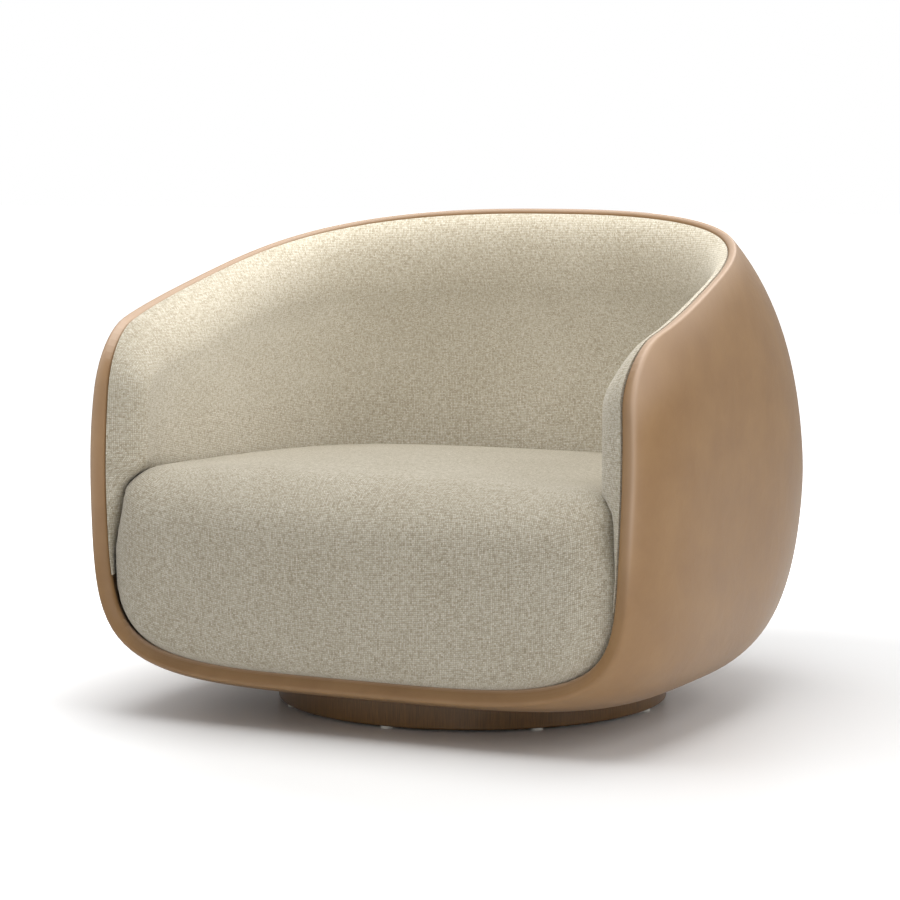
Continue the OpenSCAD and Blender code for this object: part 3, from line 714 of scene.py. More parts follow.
@dataclass
class LeatherShell:
    """The outer leather, pulled over the shell and round its rim. Millimetres."""

    egg: EggForm
    thickness: float = 2.0
    columns: int = 240
    outer_rings: int = 84
    nose_rings: int = 16
    inner_rings: int = 5
    inner_reach: float = 26.0
    hole_r: float = 130.0
    # Where across the rim's rounded edge the painted highlight lies, how wide it is, how it fades out low
    # down, and how it widens and grows higher up.
    edge_highlight_at: float = 0.27
    edge_highlight_width: float = 0.2
    edge_highlight_low_z: float = 180.0
    edge_highlight_fade: float = 170.0
    edge_highlight_spread: float = 0.3
    edge_highlight_high_z: float = 430.0
    edge_highlight_high_over: float = 90.0
    edge_highlight_high_gain: float = 0.25
    crowding: float = 0.35
    inner_far: float = 380.0
    hole_below: float = 90.0
    spare_rings: int = 6
    probe_faces: int = 400

    def place(self, column: Points, ring: Points) -> Points:
        """Places the start shape's vertices on the leather.

        Args:
            column: Column angles.
            ring: Ring numbers from the pole on the back wall.

        Returns:
            One point for each vertex.
        """
        rim = self.egg.rim(column)
        share = crowd(clamp(ring / self.outer_rings), self.crowding)
        skin = self.egg.on(column, rim * np.where(ring == 0, 0, share))
        skin[:, 2] = np.maximum(skin[:, 2], self.egg.underside_z)
        turn = clamp((ring - self.outer_rings) / self.nose_rings) * math.pi
        nose = self.egg.edge(column, turn, 0)
        past = ring - self.outer_rings - self.nose_rings
        back = clamp(past / self.inner_rings) * self.inner_reach / self.inner_far
        inner = self.egg.on(column, rim - back)
        inner = inner - self.egg.outward(inner) * self.egg.wall(inner)[:, None]
        places = np.where((ring > self.outer_rings)[:, None], nose, skin)
        return np.where((past > 0)[:, None], inner, places)

    def hole(self, work: Workpiece) -> None:
        """Cuts the round hole under the shell that the turntable fills.

        Args:
            work: The leather.
        """
        co = work.read() / MM
        centre = np.array([0.0, self.egg.swivel_y])
        radial = np.linalg.norm(co[:, :2] - centre, axis=1)
        work.delete((radial < self.hole_r) & (co[:, 2] < self.hole_below))
        co = work.read() / MM
        way = co[:, :2] - centre
        radial = np.linalg.norm(way, axis=1)
        mesh = work.piece.data
        edges = np.empty(len(mesh.edges) * 2, int)
        mesh.edges.foreach_get("vertices", edges)
        loops = np.empty(len(mesh.loops), int)
        mesh.loops.foreach_get("edge_index", loops)
        open_edges = edges.reshape(-1, 2)[np.bincount(loops, minlength=len(mesh.edges)) == 1]
        chosen = np.zeros(len(co), bool)
        chosen[open_edges.ravel()] = True
        chosen &= (co[:, 2] < self.hole_below) & (radial < 2 * self.hole_r)
        co[chosen, :2] = centre + way[chosen] / radial[chosen, None] * self.hole_r
        work.write(co * MM)

    def painted_edge_highlight(self, work: Workpiece) -> None:
        """Marks how much painted highlight the leather gets, most along the outer side of the rim's edge.

        Args:
            work: The leather, with its ring numbers.
        """
        across = (work.ring - self.outer_rings) / self.nose_rings
        z = work.read()[:, 2] / MM
        high = smooth((z - self.edge_highlight_high_z) / self.edge_highlight_high_over)
        width = self.edge_highlight_width + np.where(across < self.edge_highlight_at, self.edge_highlight_spread, 0) * high
        share = np.exp(-((across - self.edge_highlight_at) / width) ** 2)
        share = share * smooth((z - self.edge_highlight_low_z) / self.edge_highlight_fade) * (1 + self.edge_highlight_high_gain * high)
        work.piece.data.attributes.new(PAINTED_EDGE_HIGHLIGHT, "FLOAT", "POINT").data.foreach_set("value", share)

    def build(self) -> bpy.types.Object:
        """Builds the leather piece in place of the CAD cover.

        Returns:
            The leather.
        """
        rings = self.outer_rings + self.nose_rings + self.inner_rings
        work = Workpiece("leather_shell", self.columns, rings + self.spare_rings)
        work.delete(work.ring > rings)
        work.number()
        work.write(self.place(work.column, work.ring) * MM)
        # A painted highlight along the outer side of the rim's edge.
        self.painted_edge_highlight(work)
        self.hole(work)
        self.turn_out(work)
        work.shape("SOLIDIFY", thickness=self.thickness * MM, offset=-1)
        work.soften()
        piece = work.piece
        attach(piece, Body.SEAT.value)
        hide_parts("leather_cover")
        return piece

    def turn_out(self, work: Workpiece) -> None:
        """Turns the open skin's faces away from the heart of the egg if they point to it.

        Args:
            work: The leather.
        """
        heart = Vector(self.egg.heart * MM)
        probed = work.piece.data.polygons[:self.probe_faces]
        if sum(1 if face.normal.dot(face.center - heart) > 0 else -1 for face in probed) < 0:
            work.edit(bpy.ops.mesh.flip_normals)


@dataclass
class MouldedCore:
    """The moulded shell under the leather. Millimetres."""

    egg: EggForm
    columns: int = 160
    face_rings: int = 44
    nose_rings: int = 8
    leather: float = 2.1
    outer_floor: float = 47.1
    inner_floor: float = 61.6
    hole_r: float = 130.0
    hole_sides: int = 96
    cutter_h: float = 60.0
    cutter_z: float = 50.0
    crowding: float = 0.3

    def place(self, column: Points, ring: Points) -> Points:
        """Places the start shape's vertices: the outer face, the edge at the rim, the inner face.

        Args:
            column: Column angles in radians.
            ring: Ring numbers from the upper pole.

        Returns:
            One point for each vertex.
        """
        rim = self.egg.rim(column)
        total = 2 * self.face_rings + self.nose_rings
        outer = ring <= self.face_rings
        share = clamp(np.where(outer, ring, total - ring) / self.face_rings)
        skin = self.egg.on(column, rim * crowd(share, self.crowding))
        depth = np.where(outer, self.leather, self.egg.wall(skin) - self.leather)
        wall = skin - self.egg.outward(skin) * depth[:, None]
        floor = np.where(outer, self.outer_floor, self.inner_floor)
        wall[:, 2] = np.maximum(wall[:, 2], floor)
        turn = clamp((ring - self.face_rings) / self.nose_rings) * math.pi
        nose = self.egg.edge(column, turn, self.leather)
        at_nose = (ring > self.face_rings) & (ring < self.face_rings + self.nose_rings)
        return np.where(at_nose[:, None], nose, wall)

    def build(self) -> bpy.types.Object:
        """Builds the core in place of the CAD one, whose facets would show through thin leather.

        Returns:
            The core.
        """
        rings = 2 * self.face_rings + self.nose_rings
        work = Workpiece("moulded_core", self.columns, rings)
        work.write(self.place(work.column, work.ring) * MM)
        work.face_outwards()
        deselect()
        bpy.ops.mesh.primitive_cylinder_add(vertices=self.hole_sides, radius=self.hole_r * MM,
                                            depth=self.cutter_h * MM,
                                            location=(0, self.egg.swivel_y * MM, self.cutter_z * MM))
        cutter = bpy.context.object
        work.shape("BOOLEAN", operation="DIFFERENCE", object=cutter)
        bpy.data.objects.remove(cutter)
        work.soften()
        piece = work.piece
        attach(piece, Body.SEAT.value)
        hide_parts("shell_core")
        return piece


@dataclass
class LinedPad:
    """The foam of the back and arms under its woven lining, as one padded piece. Millimetres."""

    egg: EggForm
    seat: SeatForm
    columns: int = 240
    face_rings: int = 76
    edge_rings: int = 20
    wall_rings: int = 16
    arm_foam: float = 54.0
    back_foam: float = 60.0
    back_swell_reach: float = 180.0
    roll: float = 45.0
    roll_power: float = 2.3
    top_roll: float = 130.0
    top_roll_power: float = 2.0
    top_from: float = 490.0
    top_over: float = 90.0
    forward: float = 14.0
    top_forward: float = 8.5
    low_z: float = 205.0
    lining: float = 2.0
    fit: float = -1.2
    seat_gap: float = 1.8
    ease: float = 5.0
    deepest: float = 110.0
    room_turns: int = 14
    swell_over_y: float = 400.0
    swell_over_z: float = 150.0
    crowding: float = 0.5
    flat_steps: int = 720
    flat_rise: float = 0.25
    flat_inset: float = 60.0
    lean: float = 0.28
    lean_from: float = 420.0
    lean_over: float = 300.0
    way_rings: int = 6

    def room(self, p: Points, normal: Points) -> Points:
        """How deep the pad may go below the egg before it comes too near the seat block."""
        return bisect(lambda t: self.seat.past(p - normal * t[..., None]) < self.seat_gap,
                      np.full(p.shape[:-1], self.deepest), self.room_turns)

    def foam(self, p: Points, normal: Points) -> Points:
        """Thickness of the foam below points of the egg's surface, before it is rolled off.

        Args:
            p: Points of the egg's surface.
            normal: Outward directions there.

        Returns:
            One thickness for each point.
        """
        inside = np.maximum(-self.egg.past_rim(p) - self.egg.wall(p) / 2, 0)
        back = clamp((p[:, 1] - self.egg.middle_y) / self.swell_over_y)
        back = smooth(back * clamp((p[:, 2] - self.low_z) / self.swell_over_z))
        back = back * smooth(inside / self.back_swell_reach)
        full = blend(self.arm_foam, self.back_foam, back)
        room = self.room(p, normal) - self.egg.wall(p) - self.lining - 2 * self.fit
        less = (full + room - np.hypot(full - room, self.ease)) / 2
        return np.maximum(less, 1)

    def place(self, column: Points, ring: Points) -> Points:
        """Places the start shape's vertices: the woven face, its rolled edge, the side at the wall.

        Args:
            column: Column angles.
            ring: Ring numbers from the pole of the face.

        Returns:
            One point for each vertex.
        """
        total = self.face_rings + self.edge_rings + self.wall_rings
        rim = self.egg.rim(column)
        line = self.egg.on(column, rim)
        stretch = np.linalg.norm(line - self.egg.on(column, rim - NEAR), axis=-1) / NEAR
        top = smooth((line[:, 2] - self.top_from) / self.top_over)
        roll = blend(self.roll, self.top_roll, top)
        last = rim - (roll - blend(self.forward, self.top_forward, top)) / stretch
        turn = clamp((ring - self.face_rings) / self.edge_rings) * math.pi / 2
        sink, reach = rolled(turn, blend(self.roll_power, self.top_roll_power, top))
        share = crowd(clamp(ring / self.face_rings), self.crowding)
        wall_share = clamp((total - ring) / self.wall_rings)
        on_face = ring <= self.face_rings
        on_wall = ring > self.face_rings + self.edge_rings
        polar = np.where(on_face, last * share, last + roll * reach / stretch)
        polar = np.where(on_wall, (last + roll / stretch) * wall_share, polar)
        skin = self.egg.on(column, polar)
        normal = self.egg.outward(skin)
        foam = self.foam(skin, normal) + self.lining
        depth = self.egg.wall(skin) + self.fit + foam * np.where(on_wall, 0, sink)
        return skin - normal * depth[:, None]

    def flat(self, places: Points) -> Points:
        """Lays the weave level round the back and arms, with its warp upright.

        Args:
            places: Vertices in millimetres.

        Returns:
            Places in the cloth in millimetres.
        """
        turn = np.linspace(-math.pi, math.pi, self.flat_steps + 1)
        level = np.stack([np.sin(turn), np.cos(turn), np.full_like(turn, self.flat_rise)], axis=-1)
        far = bisect(lambda t: self.egg.outside(self.egg.heart + level * t[:, None]) > 0,
                     np.full_like(turn, FAR))
        ring = level[:, :2] * (far[:, None] - self.flat_inset)
        arc = np.concatenate([[0], np.cumsum(np.linalg.norm(np.diff(ring, axis=0), axis=1))])
        angle = np.arctan2(places[..., 0], places[..., 1] - self.egg.swivel_y)
        along = np.interp(angle, turn, arc - arc[self.flat_steps // 2])
        lean = 1 + self.lean * clamp((places[..., 2] - self.lean_from) / self.lean_over)
        return np.stack([along, places[..., 2] * lean], axis=-1)

    def cloth(self, work: Workpiece, places: Points) -> Points:
        """Carries the weave on round the rolled edge at its real spacing.

        Args:
            work: The pad.
            places: Its vertices in millimetres.

        Returns:
            Places in the cloth in metres.
        """
        grid, row, line = work.spread(places)
        flat = self.flat(grid)
        start = self.face_rings
        way = unit(flat[start] - flat[start - self.way_rings])
        level = np.stack([np.sign(way[:, 0]), np.zeros(self.columns)], axis=-1)
        top = self.egg.high(grid[start + self.edge_rings])[:, None]
        for k in range(start + 1, work.rings + 1):
            move = grid[k] - grid[k - 1]
            over = way * np.linalg.norm(move, axis=-1, keepdims=True)
            along = level * np.linalg.norm(move[:, :2], axis=-1, keepdims=True)
            along[:, 1] = move[:, 2]
            flat[k] = flat[k - 1] + over * top + along * (1 - top)
        return flat[row, line] * MM

    def build(self) -> bpy.types.Object:
        """Builds the padded piece in place of the CAD foam and lining.

        Returns:
            The pad under its lining.
        """
        rings = self.face_rings + self.edge_rings + self.wall_rings
        work = Workpiece("lined_pad", self.columns, rings)
        places = self.place(work.column, work.ring)
        work.write(places * MM)
        work.lay_weave(self.cloth(work, places))
        work.cut_below(self.low_z * MM)
        work.face_outwards()
        work.soften()
        piece = work.piece
        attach(piece, Body.SEAT.value)
        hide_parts("inner_pad", "inner_lining")
        return piece


@dataclass
class SeatBlock:
    """The thick crowned seat under its woven cover, as one padded piece. Millimetres."""

    seat: SeatForm
    columns: int = 208
    rings: int = 104
    brow_at: float = 0.2
    belt_at: float = 0.6
    brow_y: float = -345.0
    corner_at: float = 440.0
    corner_over: float = 90.0
    wrap_over: float = 120.0
    ring_shares: Tuple[float, ...] = (0, 0.18, 0.42, 0.62, 0.78, 0.9, 1)
    ring_angles: Tuple[float, ...] = (0, 30, 56, 100, 133, 146, 180)
    middle_pull: float = 0.1
    middle_step: int = 3

    def place(self, column: Points, ring: Points) -> Points:
        """Places the start shape's vertices on the block, closest at its rounded edges.

        Args:
            column: Column angles in radians.
            ring: Ring numbers from the upper pole.

        Returns:
            One point for each vertex.
        """
        share = ring / self.rings
        polar = np.interp(share, self.ring_shares, self.ring_angles)
        places = self.seat.on(column, np.radians(polar))
        places[ring == 0] = [0, self.seat.egg.middle_y, self.seat.top(self.seat.heart)]
        places[ring == self.rings] = [0, self.seat.egg.middle_y, self.seat.low_z]
        return places

    def cloth(self, work: Workpiece, places: Points) -> Points:
        """Cuts the cover's cloth: one width over the top, down the front and round its corners.

        Args:
            work: The seat.
            places: Its vertices in millimetres.

        Returns:
            Places in the cloth in metres.
        """
        grid, row, line = work.spread(places)
        steps = np.linalg.norm(np.diff(grid, axis=0), axis=-1)
        arc = np.concatenate([np.zeros((1, self.columns)), np.cumsum(steps, axis=0)])
        brow = round(self.brow_at * self.rings)
        over = np.maximum(arc - arc[brow], 0)[..., None]
        outline = grid[round(self.belt_at * self.rings), :, :2]
        run = np.roll(outline, -1, axis=0) - np.roll(outline, 1, axis=0)
        facing = unit(np.stack([run[:, 1], -run[:, 0]], axis=-1))
        facing *= np.sign(np.sum(facing * (outline - self.seat.heart[:2]), axis=-1, keepdims=True))
        above = np.arange(self.rings + 1)[:, None, None] < brow
        level = np.where(above, grid[..., :2], grid[brow, :, :2])
        radial = level + over * facing
        middle = int(np.argmin(outline[:, 1] + self.middle_pull * np.abs(outline[:, 0])))
        turned = np.roll(outline, -middle, axis=0)
        length = np.linalg.norm(np.diff(turned, axis=0, append=turned[:1]), axis=-1)
        around = np.concatenate([[0], np.cumsum(length)[:-1]])
        around = np.where(around > length.sum() / 2, around - length.sum(), around)
        around = np.roll(around, middle)
        around *= np.sign(outline[(middle + self.middle_step) % self.columns, 0] - outline[middle, 0])
        corner = np.abs(around) - self.corner_at
        wrapped = np.stack([np.broadcast_to(around, arc.shape), self.brow_y - over[..., 0]], axis=-1)
        share = smooth(over[..., 0] / self.wrap_over) * (1 - smooth(corner / self.corner_over))
        share = share[..., None]
        flat = radial * (1 - share) + wrapped * share
        return flat[row, line] * MM

    def build(self) -> bpy.types.Object:
        """Builds the seat in place of the CAD foam and cover.

        Returns:
            The seat under its cover.
        """
        work = Workpiece("seat_cushion", self.columns, self.rings)
        places = self.place(-work.column, work.ring)
        work.write(places * MM)
        work.lay_weave(self.cloth(work, places))
        work.face_outwards()
        work.soften()
        piece = work.piece
        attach(piece, Body.SEAT.value)
        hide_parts("seat_foam", "seat_cover")
        return piece


class Recipe:
    """A node tree while it is being written, of a material or of the world."""

    def __init__(self, name: str, world: bool = False) -> None:
        """Starts with an empty node tree.

        Args:
            name: Name of the material or the world.
            world: Whether it is a world.
        """
        self.owner = (bpy.data.worlds if world else bpy.data.materials).new(name)
        self.end = "ShaderNodeOutputWorld" if world else "ShaderNodeOutputMaterial"
        self.owner.use_nodes = True
        self.tree = self.owner.node_tree
        self.tree.nodes.clear()

    def add(self, kind: str, inputs: Optional[Dict[object, object]] = None, out: object = 0,
            stops: Sequence[Tuple[float, str]] = (), **settings: object) -> Socket:
        """Adds a node with its settings and links.

        Args:
            kind: The node's type, without the words Shader Node that it starts with.
            inputs: Values, or outputs of other nodes, for its inputs by name or number.
            out: Name or number of the output that is wanted.
            stops: Places and colours along a colour ramp, in rising order.
            settings: Properties of the node.

        Returns:
            The wanted output.
        """
        node = self.tree.nodes.new("ShaderNode" + kind)
        for key, value in settings.items():
            setattr(node, key, value)
        for key, value in (inputs or {}).items():
            if isinstance(value, Socket):
                self.tree.links.new(value, node.inputs[key])
            else:
                node.inputs[key].default_value = value
        if stops:
            marks = node.color_ramp.elements
            for mark, (place, code) in zip((marks[0], marks[1]), (stops[0], stops[-1])):
                mark.position, mark.color = place, linear(code)
            for place, code in stops[1:-1]:
                marks.new(place).color = linear(code)
        return node.outputs[out]

    def finish(self, shader: Socket) -> bpy.types.ID:
        """Links a shader to the output and returns what the tree belongs to."""
        self.tree.links.new(shader, self.tree.nodes.new(self.end).inputs["Surface"])
        return self.owner


@dataclass(frozen=True)
class WovenCloth:
    """A slubby plain weave of linen and viscose.

    The yarns are uneven, so light and dark slubs run along the threads both ways and the cloth looks
    flecked.
    It is matt, with a faint fuzz, and its yarn spacing is drawn at its real size. Painted shade darkens
    its colour in the gaps between the yarns.
    """

    name: str = "slubby_plain_weave"
    light: str = "#C6C0B1"
    middle: str = "#B4AC9A"
    dark: str = "#988E79"
    pitch_mm: float = 2.7
    slub_length_mm: float = 11.0
    warp_seed: float = 3.1
    weft_seed: float = 17.7
    knots: float = 0.16
    mottle_mm: float = 111.11
    mottle: float = 0.1
    # Painted shade between the yarns: the colour's level in the gaps, and what the yarns' rounding adds
    # to it.
    between_yarns: float = 0.68
    on_yarns: float = 0.42
    slub_height: float = 0.8

    def build(self) -> bpy.types.Material:
        """Builds the material.

        Returns:
            The material.
        """
        r = Recipe(self.name)
        uv = r.add("UVMap", uv_map=WEAVE_UV)
        grid = r.add("VectorMath", {0: uv, "Scale": 1 / (self.pitch_mm * MM)}, operation="SCALE")
        across = r.add("SeparateXYZ", {0: grid}).node.outputs
        # Slubs: a noise drawn out along the warp, and another along the weft.
        short = self.pitch_mm / self.slub_length_mm
        tones = []
        for stretch, seed in (((1.0, short, 1.0), self.warp_seed), ((short, 1.0, 1.0), self.weft_seed)):
            place = r.add("Mapping", {0: grid, "Scale": stretch, "Location": (seed, seed * 2, 0)})
            tones.append(r.add("TexNoise", {"Vector": place, "Scale": 1.0, "Detail": 2.0,
                                            "Roughness": 0.65}, noise_dimensions="2D"))
        # Each yarn is one half wave wide, and warp and weft lie on top by turns.
        waves, rounds = [], []
        for yarn in (across[0], across[1]):
            turn = r.add("Math", {0: yarn, 1: math.pi}, operation="MULTIPLY")
            waves.append(r.add("Math", {0: turn}, operation="SINE"))
            size = r.add("Math", {0: waves[-1]}, operation="ABSOLUTE")
            rounds.append(r.add("Math", {0: size}, operation="SQRT"))
        parity = r.add("Math", {0: waves[0], 1: waves[1]}, operation="MULTIPLY")
        warp_up = r.add("Math", {0: parity, 1: 0.0}, operation="GREATER_THAN")
        thread = r.add("Mix", {0: warp_up, 2: tones[1], 3: tones[0]}, data_type="FLOAT")
        bump = r.add("Math", {0: rounds[0], 1: rounds[1]}, operation="MULTIPLY")
        # Knots set single crossings off, and a wide mottle goes over them all.
        cell = r.add("CombineXYZ", {k: r.add("Math", {0: across[k]}, operation="FLOOR") for k in (0, 1)})
        knot = r.add("TexWhiteNoise", {"Vector": cell}, noise_dimensions="2D")
        tone = r.add("Mix", {0: self.knots, 2: thread, 3: knot}, data_type="FLOAT")
        large = r.add("TexNoise", {"Vector": uv, "Scale": 1 / (self.mottle_mm * MM), "Detail": 3.0},
                      noise_dimensions="2D")
        off = r.add("Math", {0: large, 1: 0.5}, operation="SUBTRACT")
        mottle = r.add("Math", {0: off, 1: self.mottle}, operation="MULTIPLY")
        fleck = r.add("Math", {0: tone, 1: mottle}, operation="ADD")
        dye = r.add("ValToRGB", {0: fleck},
                    stops=((0.3, self.dark), (0.52, self.middle), (0.72, self.light)))
        # Painted shade: the colour is darkened in the gaps between the yarns, following the yarns'
        # rounding.
        lit = r.add("Math", {0: bump, 1: self.on_yarns}, operation="MULTIPLY")
        shade = r.add("Math", {0: lit, 1: self.between_yarns}, operation="ADD")
        grey = r.add("CombineColor", {0: shade, 1: shade, 2: shade})
        colour = r.add("Mix", {0: 1.0, 6: dye, 7: grey}, 2, data_type="RGBA", blend_type="MULTIPLY")
        slubs = r.add("Math", {0: tone, 1: self.slub_height}, operation="MULTIPLY")
        height = r.add("Math", {0: bump, 1: slubs}, operation="ADD")
        relief = r.add("Bump", {"Strength": 0.5, "Distance": 0.6 * MM, "Height": height})
        return r.finish(r.add("BsdfPrincipled", {
            "Base Color": colour, "Normal": relief, "Roughness": 0.92, "Sheen Weight": 0.18,
            "Sheen Roughness": 0.5, "Specular IOR Level": 0.25}))


@dataclass(frozen=True)
class AnilineLeather:
    """Smooth tan leather, lightly finished.

    A soft broad sheen over a fine pebbled grain, with faint clouding of the dye and shallow creases where
    the hide is pulled over the shell. A painted highlight makes it pale where it faces up, standing for
    the overhead lamp's reflection, and along the outer side of the rim's edge.
    """

    name: str = "smooth_tan_leather"
    base: str = "#8E6D48"
    deep: str = "#896844"
    pale: str = "#94734D"
    # The pale colour that is painted on as a highlight.
    painted_highlight: str = "#C7AC94"
    grain_mm: float = 1.1
    cloud_mm: float = 60.0
    crease_mm: float = 35.714
    # Faces that look up get painted highlight for the overhead lamp's reflection, rising between these
    # two heights of the normal up to a share; the rim's edge gets up to its own share.
    topside_from: float = 0.3
    topside_to: float = 0.95
    topside_highlight_share: float = 0.85
    edge_highlight_share: float = 0.5
    pebble_height: float = 0.12

    def build(self) -> bpy.types.Material:
        """Builds the material.

        Returns:
            The material.
        """
        r = Recipe(self.name)
        place = r.add("TexCoord", out="Object")
        cloud = r.add("TexNoise", {"Vector": place, "Scale": 1 / (self.cloud_mm * MM), "Detail": 4.0,
                                   "Roughness": 0.6})
        hide = r.add("ValToRGB", {0: cloud},
                     stops=((0.3, self.deep), (0.5, self.base), (0.75, self.pale)))
        # Painted highlight, a pale colour on faces that look up and along the rim's edge. In the range
        # node, inputs 1 and 2 are the range that is read, 3 and 4 the one that is written.
        upward = r.add("SeparateXYZ", {0: r.add("NewGeometry", out="True Normal")}, 2)
        topside = r.add("MapRange", {0: upward, 1: self.topside_from, 2: self.topside_to, 3: 0.0,
                                     4: self.topside_highlight_share}, interpolation_type="SMOOTHSTEP")
        edge = r.add("Math", {0: r.add("Attribute", out="Fac", attribute_name=PAINTED_EDGE_HIGHLIGHT), 1: self.edge_highlight_share},
                     operation="MULTIPLY")
        painted_highlight_share = r.add("Math", {0: topside, 1: edge}, operation="MAXIMUM")
        colour = r.add("Mix", {0: painted_highlight_share, 6: hide, 7: linear(self.painted_highlight)}, 2, data_type="RGBA")
        pebbles = r.add("TexVoronoi", {"Vector": place, "Scale": 1 / (self.grain_mm * MM),
                                       "Smoothness": 0.6}, feature="SMOOTH_F1")
        creases = r.add("TexNoise", {"Vector": place, "Scale": 1 / (self.crease_mm * MM), "Detail": 5.0,
                                     "Roughness": 0.55, "Distortion": 0.6})
        grain = r.add("Math", {0: pebbles, 1: self.pebble_height}, operation="MULTIPLY")
        height = r.add("Math", {0: grain, 1: creases}, operation="ADD")
        relief = r.add("Bump", {"Strength": 0.35, "Distance": 1.6 * MM, "Height": height})
        sheen = r.add("MapRange", {0: cloud, 3: 0.32, 4: 0.42})
        return r.finish(r.add("BsdfPrincipled", {
            "Base Color": colour, "Normal": relief, "Roughness": sheen, "Specular IOR Level": 0.42,
            "Sheen Weight": 0.02, "Sheen Roughness": 0.4}))


@dataclass(frozen=True)
class StainedWood:
    """Wood with a straight grain under a stain or bare.

    Grain lines run along one axis of the part; a satin lacquer gives a soft broad highlight.
    """

    name: str
    light: str
    dark: str
    roughness: float
    grain_mm: float = 1.6
    stretch: Spot = (0.06, 1.0, 1.0)

    def build(self) -> bpy.types.Material:
        """Builds the material.

        Returns:
            The material.
        """
        r = Recipe(self.name)
        place = r.add("Mapping", {0: r.add("TexCoord", out="Object"), "Scale": self.stretch})
        grain = r.add("TexNoise", {"Vector": place, "Scale": 1 / (self.grain_mm * MM), "Detail": 3.0,
                                   "Roughness": 0.7})
        colour = r.add("ValToRGB", {0: grain}, stops=((0.3, self.dark), (0.7, self.light)))
        relief = r.add("Bump", {"Strength": 0.2, "Distance": 0.3 * MM, "Height": grain})
        return r.finish(r.add("BsdfPrincipled", {
            "Base Color": colour, "Normal": relief, "Roughness": self.roughness}))


@dataclass(frozen=True)
class PlainFinish:
    """A hidden part's finish: one colour with the fine mottling that its making leaves."""

    name: str
    colour: str
    roughness: float
    metallic: float = 0.0
    speck_mm: float = 1.5
    spread: float = 0.12

    def build(self) -> bpy.types.Material:
        """Builds the material.

        Returns:
            The material.
        """
        r = Recipe(self.name)
        place = r.add("TexCoord", out="Object")
        speck = r.add("TexNoise", {"Vector": place, "Scale": 1 / (self.speck_mm * MM), "Detail": 2.0})
        spread = r.add("Math", {0: speck, 1: self.spread}, operation="MULTIPLY")
        tone = r.add("Math", {0: spread, 1: 1 - self.spread / 2}, operation="ADD")
        grey = r.add("CombineColor", {0: tone, 1: tone, 2: tone})
        colour = r.add("Mix", {0: 1.0, 6: linear(self.colour), 7: grey}, 2, data_type="RGBA",
                       blend_type="MULTIPLY")
        relief = r.add("Bump", {"Strength": 0.15, "Distance": 0.2 * MM, "Height": speck})
        return r.finish(r.add("BsdfPrincipled", {
            "Base Color": colour, "Normal": relief, "Roughness": self.roughness,
            "Metallic": self.metallic}))


@dataclass(frozen=True)
class Carcass:
    """The carried-over solids and the finish that each one gets."""

    nodes: Dict[str, bpy.types.Object]

    def dress(self) -> None:
        """Gives every CAD solid that stays its material."""
        for finish, names in (
                # Bent ash under a dark stain and a satin lacquer: fine upright grain, a soft highlight.
                (StainedWood("brown_stained_ash", "#7F5A2C", "#5E441F", 0.34, 1.4, (1.0, 1.0, 0.04)),
                 "plinth_ring"),
                # Sanded and bare, so pale and matt.
                (StainedWood("birch_plywood", "#C9A878", "#A9875A", 0.7), "plinth_deck base_board"),
                (StainedWood("planed_beech", "#D2AC7C", "#B98F5E", 0.6),
                 "seat_rail_front seat_rail_rear seat_rail_left seat_rail_right corner_blocks "
                 "seat_battens"),
                # Bright zinc has a cool, slightly blurred shine.
                (PlainFinish("zinc_plated_steel", "#C9CCD0", 0.35, 1.0),
                 "glide_nails lower_plate_screws upper_plate_screws pivot_pin pivot_nut shell_screws "
                 "seat_bolts"),
                # Pressed steel under a thin satin black paint.
                (PlainFinish("black_coated_steel", "#2A2A2C", 0.5),
                 "lower_swivel_plate upper_swivel_plate"),
                # Ground balls that mirror what is round them.
                (PlainFinish("polished_ball_steel", "#D8DADC", 0.12, 1.0), "bearing_balls"),
                # Stamped sheet, warm and softly shining.
                (PlainFinish("stamped_brass", "#C2A76B", 0.35, 1.0), "ball_cage"),
                # Moulded and undyed, milky with a dull gleam.
                (PlainFinish("natural_nylon", "#DAD8D0", 0.45), "floor_glides pivot_washer"),
                # Woven rubber bands and felted cloth: dark, speckled and without shine.
                (PlainFinish("elastic_webbing", "#2F2F31", 0.9, speck_mm=2.0, spread=0.5),
                 "webbing_lengthways webbing_crossways"),
                (PlainFinish("black_bottom_cloth", "#26262A", 0.95, speck_mm=1.0, spread=0.5),
                 "seat_bottom_cloth")):
            material = finish.build()
            for name in names.split():
                dress(self.nodes[name], material)


@dataclass(frozen=True)
class Lamp:
    """A rectangular soft lamp. Metres and watts."""

    name: str
    place: Spot
    target: Spot
    size: Tuple[float, float]
    power: float

    def hang(self, only: Optional[bpy.types.Collection] = None) -> None:
        """Hangs the lamp.

        Args:
            only: The pieces that it falls on, where it is flagged off from all others.
        """
        data = bpy.data.lights.new(self.name, "AREA")
        data.shape = "RECTANGLE"
        data.size, data.size_y = self.size
        data.energy = self.power
        lamp = bpy.data.objects.new(self.name, data)
        lamp.location = self.place
        aim = Vector(self.target) - Vector(self.place)
        lamp.rotation_euler = aim.to_track_quat("-Z", "Y").to_euler()
        bpy.context.scene.collection.objects.link(lamp)
        if only is not None:
            lamp.light_linking.receiver_collection = only


